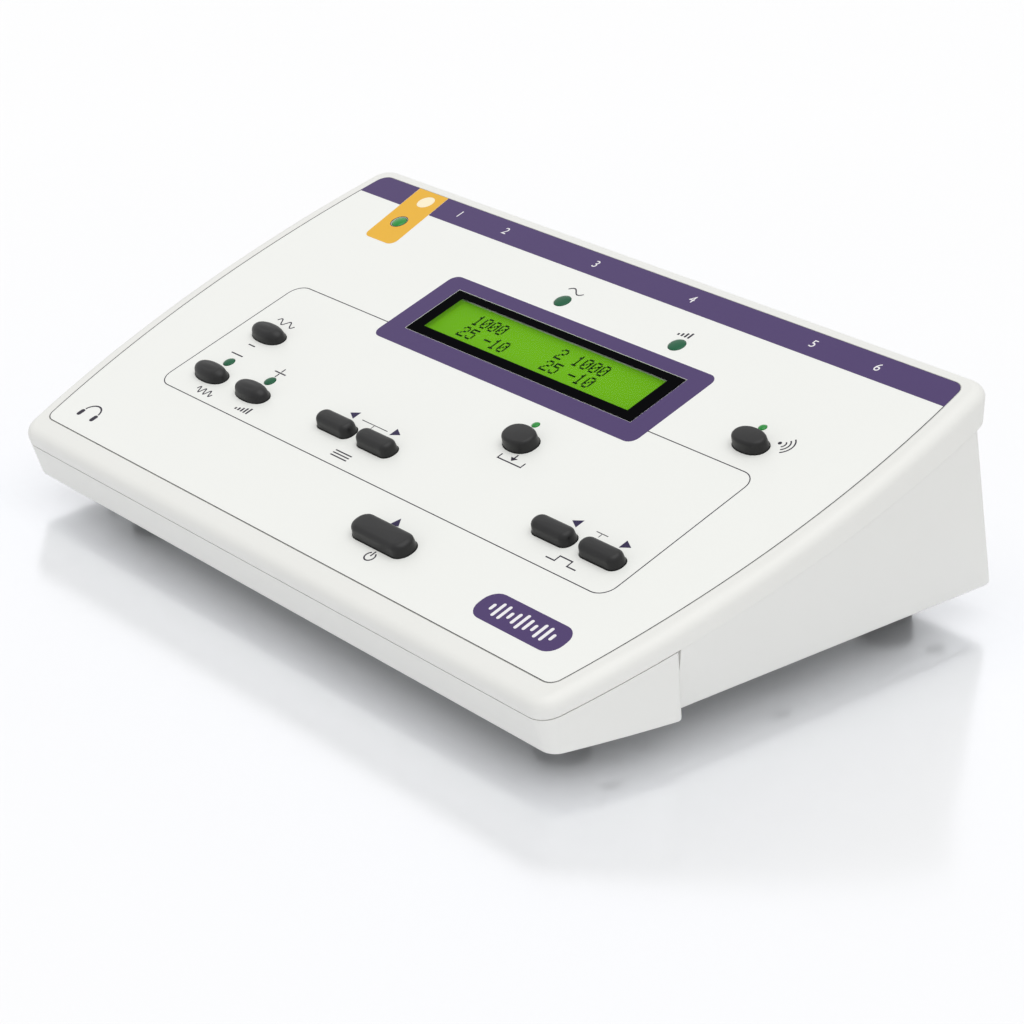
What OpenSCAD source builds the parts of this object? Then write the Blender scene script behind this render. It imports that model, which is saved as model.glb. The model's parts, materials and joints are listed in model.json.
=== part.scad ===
// Desk-top screening audiometer: a sloped two-part case with a printed control panel,
// ten rubber push buttons, a green text display, status lights and sockets along the back.
// Millimetres. +X is the user's right, +Y the back, +Z up, and Z = 0 is the table.
// The panel has its own axes: x across, s up the slope from the overlay's front edge,
// and n square to the panel, with n = 0 at the overlay's top.

/* [Panel] */
// Slope of the control panel against the table, degrees
panel_tilt = 19.1; // [17:0.1:21]
// Height of the overlay's front edge above the table
panel_front_h = 27.5; // [26.5:0.1:31]
// Width of the overlay along its front edge
overlay_front_w = 240; // [238:1:246]
// Width of the overlay along its rear edge
overlay_rear_w = 257; // [254:1:262]
// Length of the overlay up the slope
overlay_len = 148.5; // [147:0.5:154]
// How far each long side bows outwards
side_bow = 7.3; // [5:0.1:9]
// Corner radius of the overlay
overlay_r = 4; // [2:0.5:6]
// Thickness of the printed overlay
overlay_t = 0.6; // [0.4:0.1:1]
// Play between the overlay's edge and its recess
overlay_gap = 0.25; // [0.1:0.05:0.4]

/* [Case] */
// Wall thickness of both shells
wall = 2.5; // [2:0.1:3]
// Thickness of the deck that carries the overlay
deck_t = 2.4; // [2:0.1:3]
// Width of the rim beside the overlay
rim_side = 5.8; // [5.4:0.1:7]
// Width of the rim in front of the overlay
rim_front = 8.1; // [7.2:0.1:9]
// Width of the rim behind the overlay
rim_rear = 4.9; // [4.5:0.1:6]
// How far the rim stands above the overlay
rim_rise = 0; // [0:0.1:0.8]
// Radius of the rim's upper edge
rim_round = 3.5; // [2.8:0.1:4]
// Radius of the case's corners in plan
plan_r = 7; // [6:0.5:9]
// Open width of that seam
seam_gap = 0.35; // [0.2:0.05:0.5]
// Depth of the rim band's lower edge at the front
band_drop = 5.2; // [4.8:0.1:6]
// How much the band deepens towards the back, degrees
band_fall = 1.7; // [1:0.1:3]
// Step from the rim band in to the skirt below it
skirt_step = 0.2; // [0.1:0.05:0.5]
// Distance of the back wall in front of the overlay's rear edge
back_wall_in = 0.8; // [0.5:0.1:2]
// Overhang of the rim's lower edge past the back wall
back_lip = 2.9; // [1.6:0.1:4]
// Draft of the back wall over its height
back_draft = 0.7; // [0.3:0.1:1]
// Width of the skirt at its lower edge
foot_w = 252.8; // [250:0.2:255]
// Corner radius of the skirt's lower edge
foot_r = 4; // [3:0.5:6]
// Height of the skirt's lower edge above the table
skirt_h = 10; // [9.8:0.1:11]
// Length of the front nose up the slope
nose_len = 32.1; // [29:0.1:33]
// Lean of the nose's rear end from upright, degrees
nose_end_lean = 11.5; // [0:0.5:19]
// Draft of the nose's sides, degrees
side_draft = 5.5; // [4:0.5:8]
// Corner radius of the nose far below, where its drafted sides would end
nose_low_r = 1.5; // [1:0.5:4]
// Height of the base's underside above the table
base_h = 9; // [8:0.1:9.5]
// Thickness of the base's floor
floor_t = 2.5; // [2:0.1:3]
// Play between the base's floor and the skirt
pan_gap = 0.4; // [0.2:0.1:0.8]

/* [Buttons] */
// Travel of every button
key_travel = 1.5; // [1:0.1:1.8]
// Play round a button in the panel
key_gap = 0.35; // [0.25:0.05:0.5]
// Length of an oval button
oval_l = 14.4; // [13:0.1:16]
// Width of an oval button
oval_w = 7.2; // [6.4:0.1:8]
// Height of an oval button above the overlay
oval_h = 3.8; // [3:0.1:5]
// Length of an arrow button
arrow_l = 15.4; // [14:0.1:16.5]
// Width of an arrow button
arrow_w = 6; // [5.4:0.1:7]
// Height of an arrow button above the overlay
arrow_h = 3.9; // [3:0.1:5]
// Length of the store and talk buttons
round_l = 11.8; // [10:0.1:13]
// Width of the store button
store_w = 8.9; // [8:0.1:10]
// Width of the talk button
talk_w = 7.6; // [7:0.1:9]
// Height of the store and talk buttons above the overlay
round_h = 3.9; // [3:0.1:5]
// Length of the power button
power_l = 23.7; // [20:0.1:26]
// Width of the power button
power_w = 8; // [7:0.1:9]
// Height of the power button above the overlay
power_h = 4; // [3:0.1:5]
// Left column of oval buttons, distance left of the middle
left_col_x = 86.9; // [84:0.1:90]
// Level button, distance left of the middle
level_x = 65.2; // [63:0.1:67]
// Lower row of oval buttons, distance up the slope
lower_row_s = 42.3; // [40:0.1:45]
// Tone button, distance up the slope
tone_s = 65.5; // [63:0.1:67]
// Middle of the menu pair, distance left of the middle
menu_x = 15.5; // [13:0.1:18]
// Menu pair, distance up the slope
menu_s = 44.5; // [42:0.1:47]
// Middle of the response pair, distance right of the middle
response_x = 83.6; // [81:0.1:86]
// Response pair, distance up the slope
response_s = 43.2; // [41:0.1:46]
// Distance between the two buttons of a pair
pair_pitch = 19.4; // [19:0.1:21]
// Store button, distance right of the middle
store_x = 32.7; // [30:0.1:36]
// Store button, distance in front of the display's middle
store_drop = 34.1; // [33:0.1:35.5]
// Talk button, distance right of the middle
talk_x = 93.8; // [91:0.1:96]
// Talk button, distance in front of the display's middle
talk_drop = 2.1; // [0:0.1:6]
// Power button, distance right of the middle
power_x = 31.6; // [29:0.1:36]
// Power button, distance up the slope
power_s = 16.5; // [15:0.1:19]

/* [Button fittings] */
// Width of a cap's hidden flange
flange_w = 1; // [0.8:0.1:1.2]
// Thickness of a cap's hidden flange
flange_t = 1; // [0.8:0.1:1.4]
// Rest gap between the flange and the deck
flange_gap = 0.3; // [0.2:0.05:0.5]
// Radius of the stem under a cap
stem_r = 2.4; // [2.2:0.1:2.5]
// Length of the stem under a cap
stem_len = 2; // [1.6:0.1:3]
// Radius of a switch plunger
plunger_r = 1.7; // [1.4:0.1:1.9]
// Play round a switch plunger
plunger_play = 0.15; // [0.1:0.05:0.25]
// Side of a switch housing
switch_w = 7; // [6.6:0.1:7.2]
// Height of a switch housing
switch_h = 4; // [3.8:0.1:5]
// Clearance left under a moving piece at full travel
stop_gap = 0.3; // [0.2:0.05:0.5]
// Thickness of a switch housing's floor
switch_floor = 0.6; // [0.4:0.1:0.8]

/* [Display and lights] */
// Middle of the display, distance right of the middle
display_x = 3.4; // [2:0.1:5]
// Middle of the display, distance in front of the overlay's rear edge
display_rear = 46.9; // [45.5:0.1:48]
// Width of the display window
window_w = 102.2; // [100:0.1:104]
// Height of the display window
window_h = 22.4; // [21:0.1:24]
// Thickness of the display window
window_t = 1.4; // [1:0.1:1.6]
// Play round the display window
window_gap = 0.2; // [0.1:0.05:0.3]
// Width of the ledge that carries the window
ledge_w = 1.8; // [1.4:0.1:2.2]
// Width of the green viewing area
view_w = 92.4; // [88:0.2:94]
// Height of the green viewing area
view_h = 16; // [14:0.2:17]
// Width of the display module's board
module_w = 116; // [114:1:118]
// Height of the display module's board
module_h = 36; // [35:0.5:37]
// Radius of a large status light
big_lamp_r = 2.7; // [2.4:0.1:3]
// Radius of a status light beside an oval button
key_lamp_r = 1.9; // [1.6:0.1:2.1]
// Radius of the small lights beside the store and talk buttons
small_lamp_r = 1.2; // [1:0.1:1.6]
// Distance of a button's light from the button's edge
lamp_off = 3.65; // [3.5:0.05:4]
// Lights beside the oval buttons, distance left of the button's middle
oval_lamp_left = 0.5; // [0:0.1:1]
// Lights beside the store and talk buttons, distance left of the button's middle
round_lamp_left = 2.7; // [2:0.1:3]
// Status lights above the display, distance behind its middle
lamp_row_up = 22.6; // [22:0.1:23.4]
// Left status light above the display, distance left of the middle
lamp_left_x = 11.6; // [10:0.1:13]
// Right status light above the display, distance right of the middle
lamp_right_x = 39; // [37:0.1:42]
// Power light, distance left of the middle
power_lamp_x = 100; // [98:0.1:101]
// Power light, distance in front of the overlay's rear edge
power_lamp_rear = 17.5; // [17:0.1:19]
// Radius of the power light
power_lamp_r = 2.5; // [2:0.1:2.6]
// Play round every light
lamp_play = 0.15; // [0.1:0.05:0.3]
// How far a light pipe stands above the overlay
lamp_stand = 0.1; // [0:0.05:0.3]
// Height of the foot that a light pipe stands on
pipe_foot_h = 2; // [1.6:0.1:2.4]
// Ring width of that foot
pipe_foot_w = 0.5; // [0.4:0.05:0.6]
// Side of a light chip
light_chip_w = 2; // [1.6:0.1:2.2]
// Height of a light chip
light_chip_h = 0.8; // [0.6:0.1:1]
// Width of the power light's legs
lead_w = 0.5; // [0.4:0.05:0.6]
// Wall of the display's frame
frame_wall = 1; // [0.8:0.1:1.2]
// Height of the display's frame above its board
frame_t = 6; // [5.6:0.1:6.2]
// How far the display's light guide reaches past the viewing area
guide_rim = 2.4; // [2:0.1:2.8]
// Play round the display's glass
glass_play = 0.2; // [0.1:0.05:0.3]
// Play between the deck and the display's frame
display_play = 0.2; // [0.1:0.05:0.3]

/* [Boards] */
// Thickness of every circuit board
board_t = 1.6; // [1.2:0.1:2]
// Half width of the button board
key_board_half = 113; // [112:0.5:114]
// Front edge of the button board, distance up the slope
key_board_front = 6; // [5:0.5:8]
// Rear edge of the button board, distance in front of the overlay's rear edge
key_board_rear_in = 14.5; // [13.5:0.5:16]
// Distance of the button board's screws from its edges
board_post_in = 5; // [4.5:0.5:6]
// Rear middle screw of the button board, distance right of the middle
rear_post_x = 6; // [2:1:12]
// Distance of the display board's screws from its edges
display_post_in = 3; // [2.6:0.1:3.4]
// Width of the main board
main_board_w = 130; // [120:1:150]
// Depth of the main board
main_board_d = 50; // [46:1:52]
// Middle of the main board, distance in front of the skirt's rear edge
main_board_rear = 72; // [71:0.5:73]
// Distance of the main board's screws from its edges
main_post_in = 4; // [3.6:0.1:5]
// Pitch of the chips along the main board
chip_pitch = 22.8; // [20:0.2:24]
// Side of the largest chip
chip_w = 14; // [12:0.5:16]
// How much narrower each next chip is
chip_step = 2; // [0:0.5:3]
// Height of the chips
chip_t = 1.8; // [1.4:0.1:2.2]
// Radius of the filter capacitors
cap_r = 3.5; // [3:0.1:4]
// Height of the filter capacitors
cap_h = 7; // [6:0.5:8]
// Pitch of the filter capacitors
cap_pitch = 10; // [9:0.5:12]
// Distance of the filter capacitors' outer row from the board's end
cap_in = 21; // [18:0.5:24]
// Distance of the filter capacitors from the board's rear edge
cap_rear = 7; // [5:0.5:8]
// Height of the main board above the base's floor
main_board_lift = 4.5; // [4:0.1:5]
// Height of a ribbon's plug
plug_h = 5; // [4:0.1:5.5]
// Depth of a ribbon's plug
plug_d = 5; // [4.5:0.1:6]
// Width of the flat ribbons
ribbon_w = 20; // [16:0.5:21]
// Thickness of the flat ribbons
ribbon_t = 1; // [0.8:0.1:1.2]
// How far a plug reaches past each side of its ribbon
plug_end = 1; // [0.6:0.1:1.4]
// Upper ribbon, distance right of the middle
upper_plug_x = 4; // [3:0.5:5]
// Upper ribbon's plug on the button board, distance up the slope
upper_plug_s = 62; // [61:0.5:63]
// Lower ribbon plug, distance behind the main board's front edge
lower_plug_in = 8; // [7:0.5:9]
// Rear ribbon, distance left of the middle
rear_plug_x = 38.5; // [37.5:0.5:39.5]

/* [Sockets] */
// Depth of the socket board below the panel
socket_board_depth = 39; // [38.5:0.1:40]
// Length of the socket board up the slope
socket_board_len = 30; // [29:0.5:31]
// Margin of the socket board past its last socket
socket_board_end = 3; // [2:0.5:5]
// Gap between the sockets' faces and the thickest part of the back wall
socket_gap = 0.1; // [0.05:0.05:0.3]
// How far a socket's bushing reaches into its body
bush_root = 2; // [1:0.5:3]
// How far a socket's bushing stands past its nut
bush_stand = 0.8; // [0.4:0.1:1.2]
// Height of a headset socket's body
jack_h = 14; // [13:0.1:15]
// Width of a headset socket's body
jack_w = 15; // [14:0.1:16]
// Depth of a headset socket's body
jack_d = 26; // [24:0.1:27]
// Bore radius of a headset socket
jack_bore_r = 3.2; // [3.18:0.01:3.3]
// Bushing radius of a headset socket
jack_bush_r = 4.75; // [4.5:0.05:5]
// Bore radius of the microphone socket
mic_bore_r = 1.8; // [1.77:0.01:1.9]
// Bushing radius of the microphone socket
mic_bush_r = 3; // [2.8:0.1:3.2]
// Size of the microphone socket's body
mic_size = 10; // [9:0.1:11]
// Depth of the microphone socket's body
mic_d = 14; // [13:0.1:16]
// Bore radius of the power inlet
inlet_bore_r = 2.9; // [2.7:0.05:3]
// Radius of the power inlet's centre pin
inlet_pin_r = 1; // [0.8:0.05:1.1]
// Bushing radius of the power inlet
inlet_bush_r = 5; // [4.8:0.1:5.2]
// Size of the power inlet's body
inlet_size = 11; // [10.6:0.1:12]
// Depth of the power inlet's body
inlet_d = 14; // [13:0.1:16]
// Thickness of the socket nuts
nut_t = 2; // [1.6:0.1:2.4]
// Ring width of the socket nuts
nut_ring = 2.4; // [1.8:0.1:2.6]
// Play round every socket's bushing
bush_play = 0.15; // [0.1:0.05:0.25]
// Power inlet, distance left of the middle
inlet_x = 83.2; // [82:0.1:84]
// Response handset socket, distance left of the middle
handset_x = 60.1; // [59:0.1:61]
// High frequency socket, distance left of the middle
high_x = 17; // [16:0.1:18]
// Microphone socket, distance right of the middle
mic_x = 26; // [24:0.1:28]
// Left headset socket, distance right of the middle
left_ear_x = 75.9; // [75:0.1:77]
// Right headset socket, distance right of the middle
right_ear_x = 100.8; // [100:0.1:102]

/* [Screws and feet] */
// Case screws, distance either side of the middle
case_screw_x = 118; // [117:0.1:118.2]
// Front case screws, distance behind the overlay's front edge
case_screw_front = 22; // [20:0.5:24]
// Rear case screws, distance in front of the skirt's rear edge
case_screw_rear = 15; // [14:0.5:18]
// Height of the joint between a screw boss and its pillar
boss_z = 18; // [17:0.1:19]
// Depth of the case screws' seats below that joint
screw_seat = 4; // [3:0.5:5]
// Radius of the case screw bosses and pillars
boss_r = 4.2; // [4:0.1:4.4]
// Shank radius of the case screws
case_screw_r = 1.5; // [1.25:0.05:1.6]
// Head radius of the case screws
case_head_r = 2.8; // [2.4:0.1:2.9]
// Head height of the case screws
case_head_h = 2.2; // [1.8:0.1:2.4]
// Shank length of the case screws
case_screw_len = 12; // [10:0.5:13]
// Shank radius of the board screws
board_screw_r = 1.1; // [1:0.05:1.2]
// Head radius of the board screws
board_head_r = 2; // [1.8:0.1:2.2]
// Head height of the board screws
board_head_h = 1.4; // [1.2:0.1:1.6]
// Shank length of the button board screws
board_screw_len = 6; // [5:0.5:6.5]
// Shank length of the display and main board screws
short_screw_len = 5; // [4.5:0.5:5.5]
// Radius of the board bosses
board_boss_r = 3; // [2.6:0.1:3.2]
// Play round every screw's shank in a clearance hole
screw_play = 0.3; // [0.2:0.05:0.4]
// Upper radius of a rubber foot
foot_top_r = 8; // [7:0.1:8.4]
// Lower radius of a rubber foot
foot_low_r = 7; // [6:0.1:7.5]
// Radius of a foot's fixing peg
peg_r = 2.5; // [2:0.1:3]
// How far the peg stands above the base's floor
peg_stand = 1; // [0.5:0.1:1.5]
// Distance of the rear feet from the case's middle
feet_rear_x = 103.5; // [100:0.5:106.5]
// Distance of the front feet from the case's middle
feet_front_x = 97; // [94:0.5:104]
// Front feet, distance behind the overlay's front edge
feet_front = 24; // [16:0.5:28]
// Rear feet, distance in front of the skirt's rear edge
feet_rear = 19.5; // [14:0.5:24]

/* [Hidden] */

skin = 0.01;
cut = 1;
far = 400;
round_fn = 32;
side_fn = 240;
$fn = 48;

// Where the back wall stands, and how far the case reaches from the overlay's front edge
back_wall_s = overlay_len - back_wall_in;
front_reach = (rim_front - rim_round) * cos(panel_tilt)
    - (rim_round - rim_rise) * sin(panel_tilt) + rim_round;
rear_reach = (back_wall_s - back_draft + (panel_front_h - skirt_h) * sin(panel_tilt))
    / cos(panel_tilt);
panel_y = (front_reach - rear_reach) / 2;

// Each long side is an arc through the overlay's two corners
side_run = (overlay_rear_w - overlay_front_w) / 2;
side_chord = sqrt(overlay_len * overlay_len + side_run * side_run);
side_arc_r = (side_chord * side_chord / 4 + side_bow * side_bow) / (2 * side_bow);
side_arc_x = (overlay_front_w + overlay_rear_w) / 4
    + (side_bow - side_arc_r) * overlay_len / side_chord;
side_arc_s = overlay_len / 2 - (side_bow - side_arc_r) * side_run / side_chord;

// Places measured from the overlay's rear edge
display_s = overlay_len - display_rear;
lamp_row_s = display_s + lamp_row_up;
store_s = display_s - store_drop;
talk_s = display_s - talk_drop;
power_lamp_s = overlay_len - power_lamp_rear;
key_board_rear = overlay_len - key_board_rear_in;

// The back wall leans in from the band's lower edge to the skirt's foot
band_low = band_drop + (back_wall_s + rim_front) * tan(band_fall);
foot_low = (panel_front_h - skirt_h + (back_wall_s - back_draft) * sin(panel_tilt))
    / cos(panel_tilt);
function wall_s(n) = back_wall_s - back_draft * (n - band_low) / (foot_low - band_low);

// The stack under the overlay, as depths below its top
deck_under = overlay_t + deck_t;
flange_top = deck_under + flange_gap;
stem_top = flange_top + flange_t;
plunger_top = stem_top + stem_len;
switch_top = plunger_top + key_travel + stop_gap;
switch_bottom = switch_top + switch_h;
plunger_bottom = switch_bottom - switch_floor - key_travel - stop_gap;
key_board_under = switch_bottom + board_t;

display_drop = deck_under + display_play;
glass_drop = window_t + glass_play;
display_board_top = display_drop + frame_t;
display_board_under = display_board_top + board_t;

// Buttons: distance across, distance up, length, width, height and form
OVAL = 0;
ROOF = 1;
DISC = 2;
BAR = 3;
keys = [
    [-left_col_x, tone_s, oval_l, oval_w, oval_h, OVAL],
    [-left_col_x, lower_row_s, oval_l, oval_w, oval_h, OVAL],
    [-level_x, lower_row_s, oval_l, oval_w, oval_h, OVAL],
    [-menu_x - pair_pitch / 2, menu_s, arrow_l, arrow_w, arrow_h, ROOF],
    [-menu_x + pair_pitch / 2, menu_s, arrow_l, arrow_w, arrow_h, ROOF],
    [store_x, store_s, round_l, store_w, round_h, DISC],
    [talk_x, talk_s, round_l, talk_w, round_h, DISC],
    [power_x, power_s, power_l, power_w, power_h, BAR],
    [response_x - pair_pitch / 2, response_s, arrow_l, arrow_w, arrow_h, ROOF],
    [response_x + pair_pitch / 2, response_s, arrow_l, arrow_w, arrow_h, ROOF]
];

// Cap profiles: inset as a share of the button's width, and share of its height
profiles = [
    [[0, 0], [0, 0.2], [0.06, 0.45], [0.16, 0.76], [0.27, 0.94], [0.36, 1]],
    [[0, 0], [0, 0.16], [0.08, 0.5], [0.13, 0.75], [0.2, 0.93], [0.26, 1]],
    [[0, 0], [0, 0.16], [0.06, 0.62], [0.1, 0.84], [0.16, 0.96], [0.22, 1]],
    [[0, 0], [0, 0.15], [0.07, 0.6], [0.12, 0.82], [0.18, 0.95], [0.25, 1]]
];

// Status lights: distance across, distance up, radius
lamps = [
    [-lamp_left_x, lamp_row_s, big_lamp_r],
    [lamp_right_x, lamp_row_s, big_lamp_r],
    [-left_col_x - oval_lamp_left, lower_row_s + oval_w / 2 + lamp_off, key_lamp_r],
    [-level_x - oval_lamp_left, lower_row_s + oval_w / 2 + lamp_off, key_lamp_r],
    [store_x - round_lamp_left, store_s + store_w / 2 + lamp_off, small_lamp_r],
    [talk_x - round_lamp_left, talk_s + talk_w / 2 + lamp_off, small_lamp_r]
];

front_post_s = key_board_front + board_post_in;
rear_post_s = key_board_rear - board_post_in;
board_posts = [
    for (x = [-1, 1]) for (s = [front_post_s, (front_post_s + rear_post_s) / 2, rear_post_s])
        [x * (key_board_half - board_post_in), s],
    [0, front_post_s],
    [rear_post_x, rear_post_s]
];
display_posts = [
    for (x = [-1, 1]) for (s = [-1, 1])
        [
            display_x + x * (module_w / 2 - display_post_in),
            display_s + s * (module_h / 2 - display_post_in)
        ]
];
case_screw_last = rear_reach - case_screw_rear;
case_posts = [
    for (x = [-case_screw_x, case_screw_x])
        for (y = [case_screw_front, (case_screw_front + case_screw_last) / 2, case_screw_last])
            [x, panel_y + y]
];
main_board_y = panel_y + rear_reach - main_board_rear;
main_posts = [
    for (x = [-1, 1]) for (y = [-1, 1])
        [
            x * (main_board_w / 2 - main_post_in),
            main_board_y + y * (main_board_d / 2 - main_post_in)
        ]
];
feet_posts = [
    for (side = [-1, 1])
        for (p = [[feet_front_x, feet_front], [feet_rear_x, rear_reach - feet_rear]])
            [side * p[0], panel_y + p[1]]
];

floor_top = base_h + floor_t;
head_seat_z = boss_z - screw_seat;
main_board_z = floor_top + main_board_lift;
foot_half = foot_w / 2;
foot_rear_y = panel_y + rear_reach;
socket_face_s = back_wall_s - back_draft - wall - socket_gap;
socket_mouth_s = back_wall_s + nut_t + bush_stand;
socket_board_front = socket_face_s - cut - socket_board_len;
mic_n = socket_board_depth - mic_size / 2;
jack_n = socket_board_depth - jack_h / 2;
inlet_n = socket_board_depth - inlet_size / 2;

case_white = [0.93, 0.935, 0.92];
rubber_black = [0.13, 0.13, 0.13];
board_green = [0.1, 0.38, 0.2];
steel = [0.75, 0.76, 0.78];
chip_black = [0.15, 0.15, 0.16];

function power_of(v, e) = sign(v) * pow(abs(v), e);
function oval_points(l, w) = [
    for (a = [0:15:345]) [l / 2 * power_of(cos(a), 0.9), w / 2 * power_of(sin(a), 0.9)]
];
function bar_points(l, w) = let (r = w * 0.46) [
    for (c = [[1, 1, 0], [-1, 1, 90], [-1, -1, 180], [1, -1, 270]])
        for (a = [0:15:90])
            [c[0] * (l / 2 - r) + r * cos(a + c[2]), c[1] * (w / 2 - r) + r * sin(a + c[2])]
];
function key_points(k, grow) = k[5] == OVAL || k[5] == DISC
    ? oval_points(k[2] + 2 * grow, k[3] + 2 * grow)
    : bar_points(k[2] + 2 * grow, k[3] + 2 * grow);

// World place of a point given in the panel's axes
function world_y(s, n) = panel_y + s * cos(panel_tilt) - n * sin(panel_tilt);
function world_z(s, n) = panel_front_h + s * sin(panel_tilt) + n * cos(panel_tilt);

module panel(x = 0, s = 0, depth = 0) {
    translate([0, panel_y, panel_front_h])
        rotate([panel_tilt, 0, 0])
            translate([x, s, -depth]) children();
}

module side_disc(grow) {
    translate([side_arc_x, side_arc_s]) circle(r = side_arc_r + grow, $fn = side_fn);
}

// The overlay's outline, grown at its sides, front and rear, with its corners rounded
module outline(side, front, rear, corner) {
    offset(r = corner, $fn = round_fn)
        intersection() {
            translate([-far, corner - front])
                square([2 * far, overlay_len + front + rear - 2 * corner]);
            side_disc(side - corner);
            mirror([1, 0]) side_disc(side - corner);
        }
}

module slice(side, front, rear, corner) {
    linear_extrude(skin) outline(side, front, rear, corner);
}

module band_plane() {
    panel(0, -rim_front, band_drop)
        rotate([-band_fall, 0, 0])
            translate([0, rim_front, 0]) children();
}

// Everything in front of the nose's rear end, moved back by a gap
module before_nose_end(gap) {
    low = band_drop + (nose_len + rim_front) * tan(band_fall);
    translate([0, world_y(nose_len, -low) + gap, world_z(nose_len, -low)])
        rotate([nose_end_lean, 0, 0])
            translate([-far, -far, -far]) cube([2 * far, far, 2 * far]);
}

module rim() {
    hull() {
        for (a = [0:15:90]) {
            panel(0, 0, rim_round * (1 - sin(a)) - rim_rise)
                slice(
                    rim_side - rim_round * (1 - cos(a)),
                    rim_front - rim_round * (1 - cos(a)),
                    rim_rear - rim_round * (1 - cos(a)),
                    plan_r - rim_round * (1 - cos(a))
                );
        }
        band_plane() slice(rim_side, rim_front, back_lip - back_wall_in, plan_r);
    }
}

module foot_slice(inset, front_y, z) {
    translate([0, 0, z])
        linear_extrude(skin)
            offset(r = foot_r, $fn = round_fn)
                translate([-foot_half + inset + foot_r, front_y + foot_r])
                    square([
                        foot_w - 2 * inset - 2 * foot_r,
                        foot_rear_y - inset - front_y - 2 * foot_r
                    ]);
}

module skirt() {
    hull() {
        band_plane()
            slice(
                rim_side - skirt_step, rim_front - skirt_step, -back_wall_in,
                plan_r - skirt_step
            );
        foot_slice(0, panel_y + nose_len, skirt_h);
    }
}

module cavity() {
    hull() {
        panel(0, 0, deck_under)
            slice(rim_side - wall, rim_front - wall, -back_wall_in - wall, plan_r - wall);
        foot_slice(wall, panel_y + wall, skirt_h - cut);
    }
}

module posts(points, r, h) {
    for (p = points) translate([p[0], p[1], 0]) cylinder(h = h, r = r);
}

module bosses() {
    translate([0, 0, boss_z]) posts(case_posts, boss_r, far);
    panel(0, 0, switch_bottom) posts(board_posts, board_boss_r, switch_bottom);
    panel(0, 0, display_board_top) posts(display_posts, board_boss_r, display_board_top);
}

module key_holes(depth, h) {
    panel(0, 0, depth)
        linear_extrude(h)
            for (k = keys) translate([k[0], k[1]]) polygon(key_points(k, key_gap));
}

module lamp_holes(depth, h) {
    panel(0, 0, depth) {
        for (p = lamps) translate([p[0], p[1], 0]) cylinder(h = h, r = p[2] + lamp_play);
        translate([-power_lamp_x, power_lamp_s, 0])
            cylinder(h = h, r = power_lamp_r + lamp_play);
    }
}

module window_block(w, h, t, depth) {
    panel(display_x, display_s, depth) translate([-w / 2, -h / 2, 0]) cube([w, h, t]);
}

module along_s(x, s, n) {
    panel(x, s, n) rotate([-90, 0, 0]) children();
}

module socket_hole(x, n, r) {
    along_s(x, back_wall_s - 3 * wall, n) cylinder(h = 6 * wall, r = r + bush_play);
}

module top_shell() {
    color(case_white)
        difference() {
            union() {
                rim();
                skirt();
            }
            difference() {
                union() {
                    cavity();
                    intersection() {
                        band_plane() translate([-far, -far, -far]) cube([2 * far, 2 * far, far]);
                        before_nose_end(seam_gap);
                    }
                }
                bosses();
            }
            panel(0, 0, overlay_t)
                linear_extrude(rim_round)
                    outline(overlay_gap, overlay_gap, overlay_gap, overlay_r + overlay_gap);
            key_holes(2 * deck_under, far);
            lamp_holes(2 * deck_under, far);
            window_block(
                window_w + 2 * window_gap, window_h + 2 * window_gap, rim_round, window_t
            );
            window_block(
                window_w - 2 * ledge_w, window_h - 2 * ledge_w, 2 * deck_under, 2 * deck_under
            );
            for (x = [-handset_x, -high_x, left_ear_x, right_ear_x])
                socket_hole(x, jack_n, jack_bush_r);
            socket_hole(mic_x, mic_n, mic_bush_r);
            socket_hole(-inlet_x, inlet_n, inlet_bush_r);
            translate([0, 0, boss_z - cut])
                posts(case_posts, case_screw_r, case_screw_len - screw_seat + 2 * cut);
            panel(0, 0, switch_bottom + cut)
                posts(board_posts, board_screw_r, board_screw_len - board_t + 2 * cut);
            panel(0, 0, display_board_top + cut)
                posts(display_posts, board_screw_r, short_screw_len - board_t + 2 * cut);
        }
}

// The nose reaches this far below the panel before the base's floor cuts it off
nose_depth = (panel_front_h - base_h + nose_len * sin(panel_tilt)) / cos(panel_tilt) + cut;
nose_side_in = (nose_depth - band_drop) * tan(side_draft);

module nose_form(inset, side_top, front_top, low_r, over) {
    hull() {
        band_plane()
            translate([0, 0, over - seam_gap]) slice(side_top, front_top, 0, plan_r - inset);
        panel(0, 0, nose_depth)
            slice(rim_side - nose_side_in - inset, rim_front - inset, 0, low_r);
    }
}

module base_shell() {
    pan_half = foot_half - wall - pan_gap;
    pan_rear = foot_rear_y - wall - floor_t * tan(panel_tilt) - pan_gap;
    color(case_white)
        difference() {
            union() {
                intersection() {
                    nose_form(0, rim_side, rim_front, nose_low_r, 0);
                    before_nose_end(0);
                    translate([-far, -far, base_h]) cube([2 * far, 2 * far, far]);
                }
                translate([-pan_half, panel_y + nose_len / 2, base_h])
                    cube([2 * pan_half, pan_rear - panel_y - nose_len / 2, floor_t]);
            }
            intersection() {
                nose_form(
                    wall, rim_side - wall, rim_front - wall, plan_r - wall, cut
                );
                translate([-far, -far, floor_top]) cube([2 * far, 2 * far, far]);
            }
            posts(case_posts, case_head_r + screw_play, far);
            posts(main_posts, board_screw_r, far);
            posts(feet_posts, peg_r, far);
        }
    color(case_white)
        difference() {
            union() {
                translate([0, 0, base_h]) posts(case_posts, boss_r, boss_z - base_h);
                translate([0, 0, base_h])
                    posts(main_posts, board_boss_r, main_board_z - base_h);
            }
            posts(case_posts, case_screw_r + screw_play, far);
            posts(case_posts, case_head_r + screw_play, head_seat_z);
            translate([0, 0, main_board_z + board_t - short_screw_len - cut])
                posts(main_posts, board_screw_r, far);
        }
}

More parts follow.
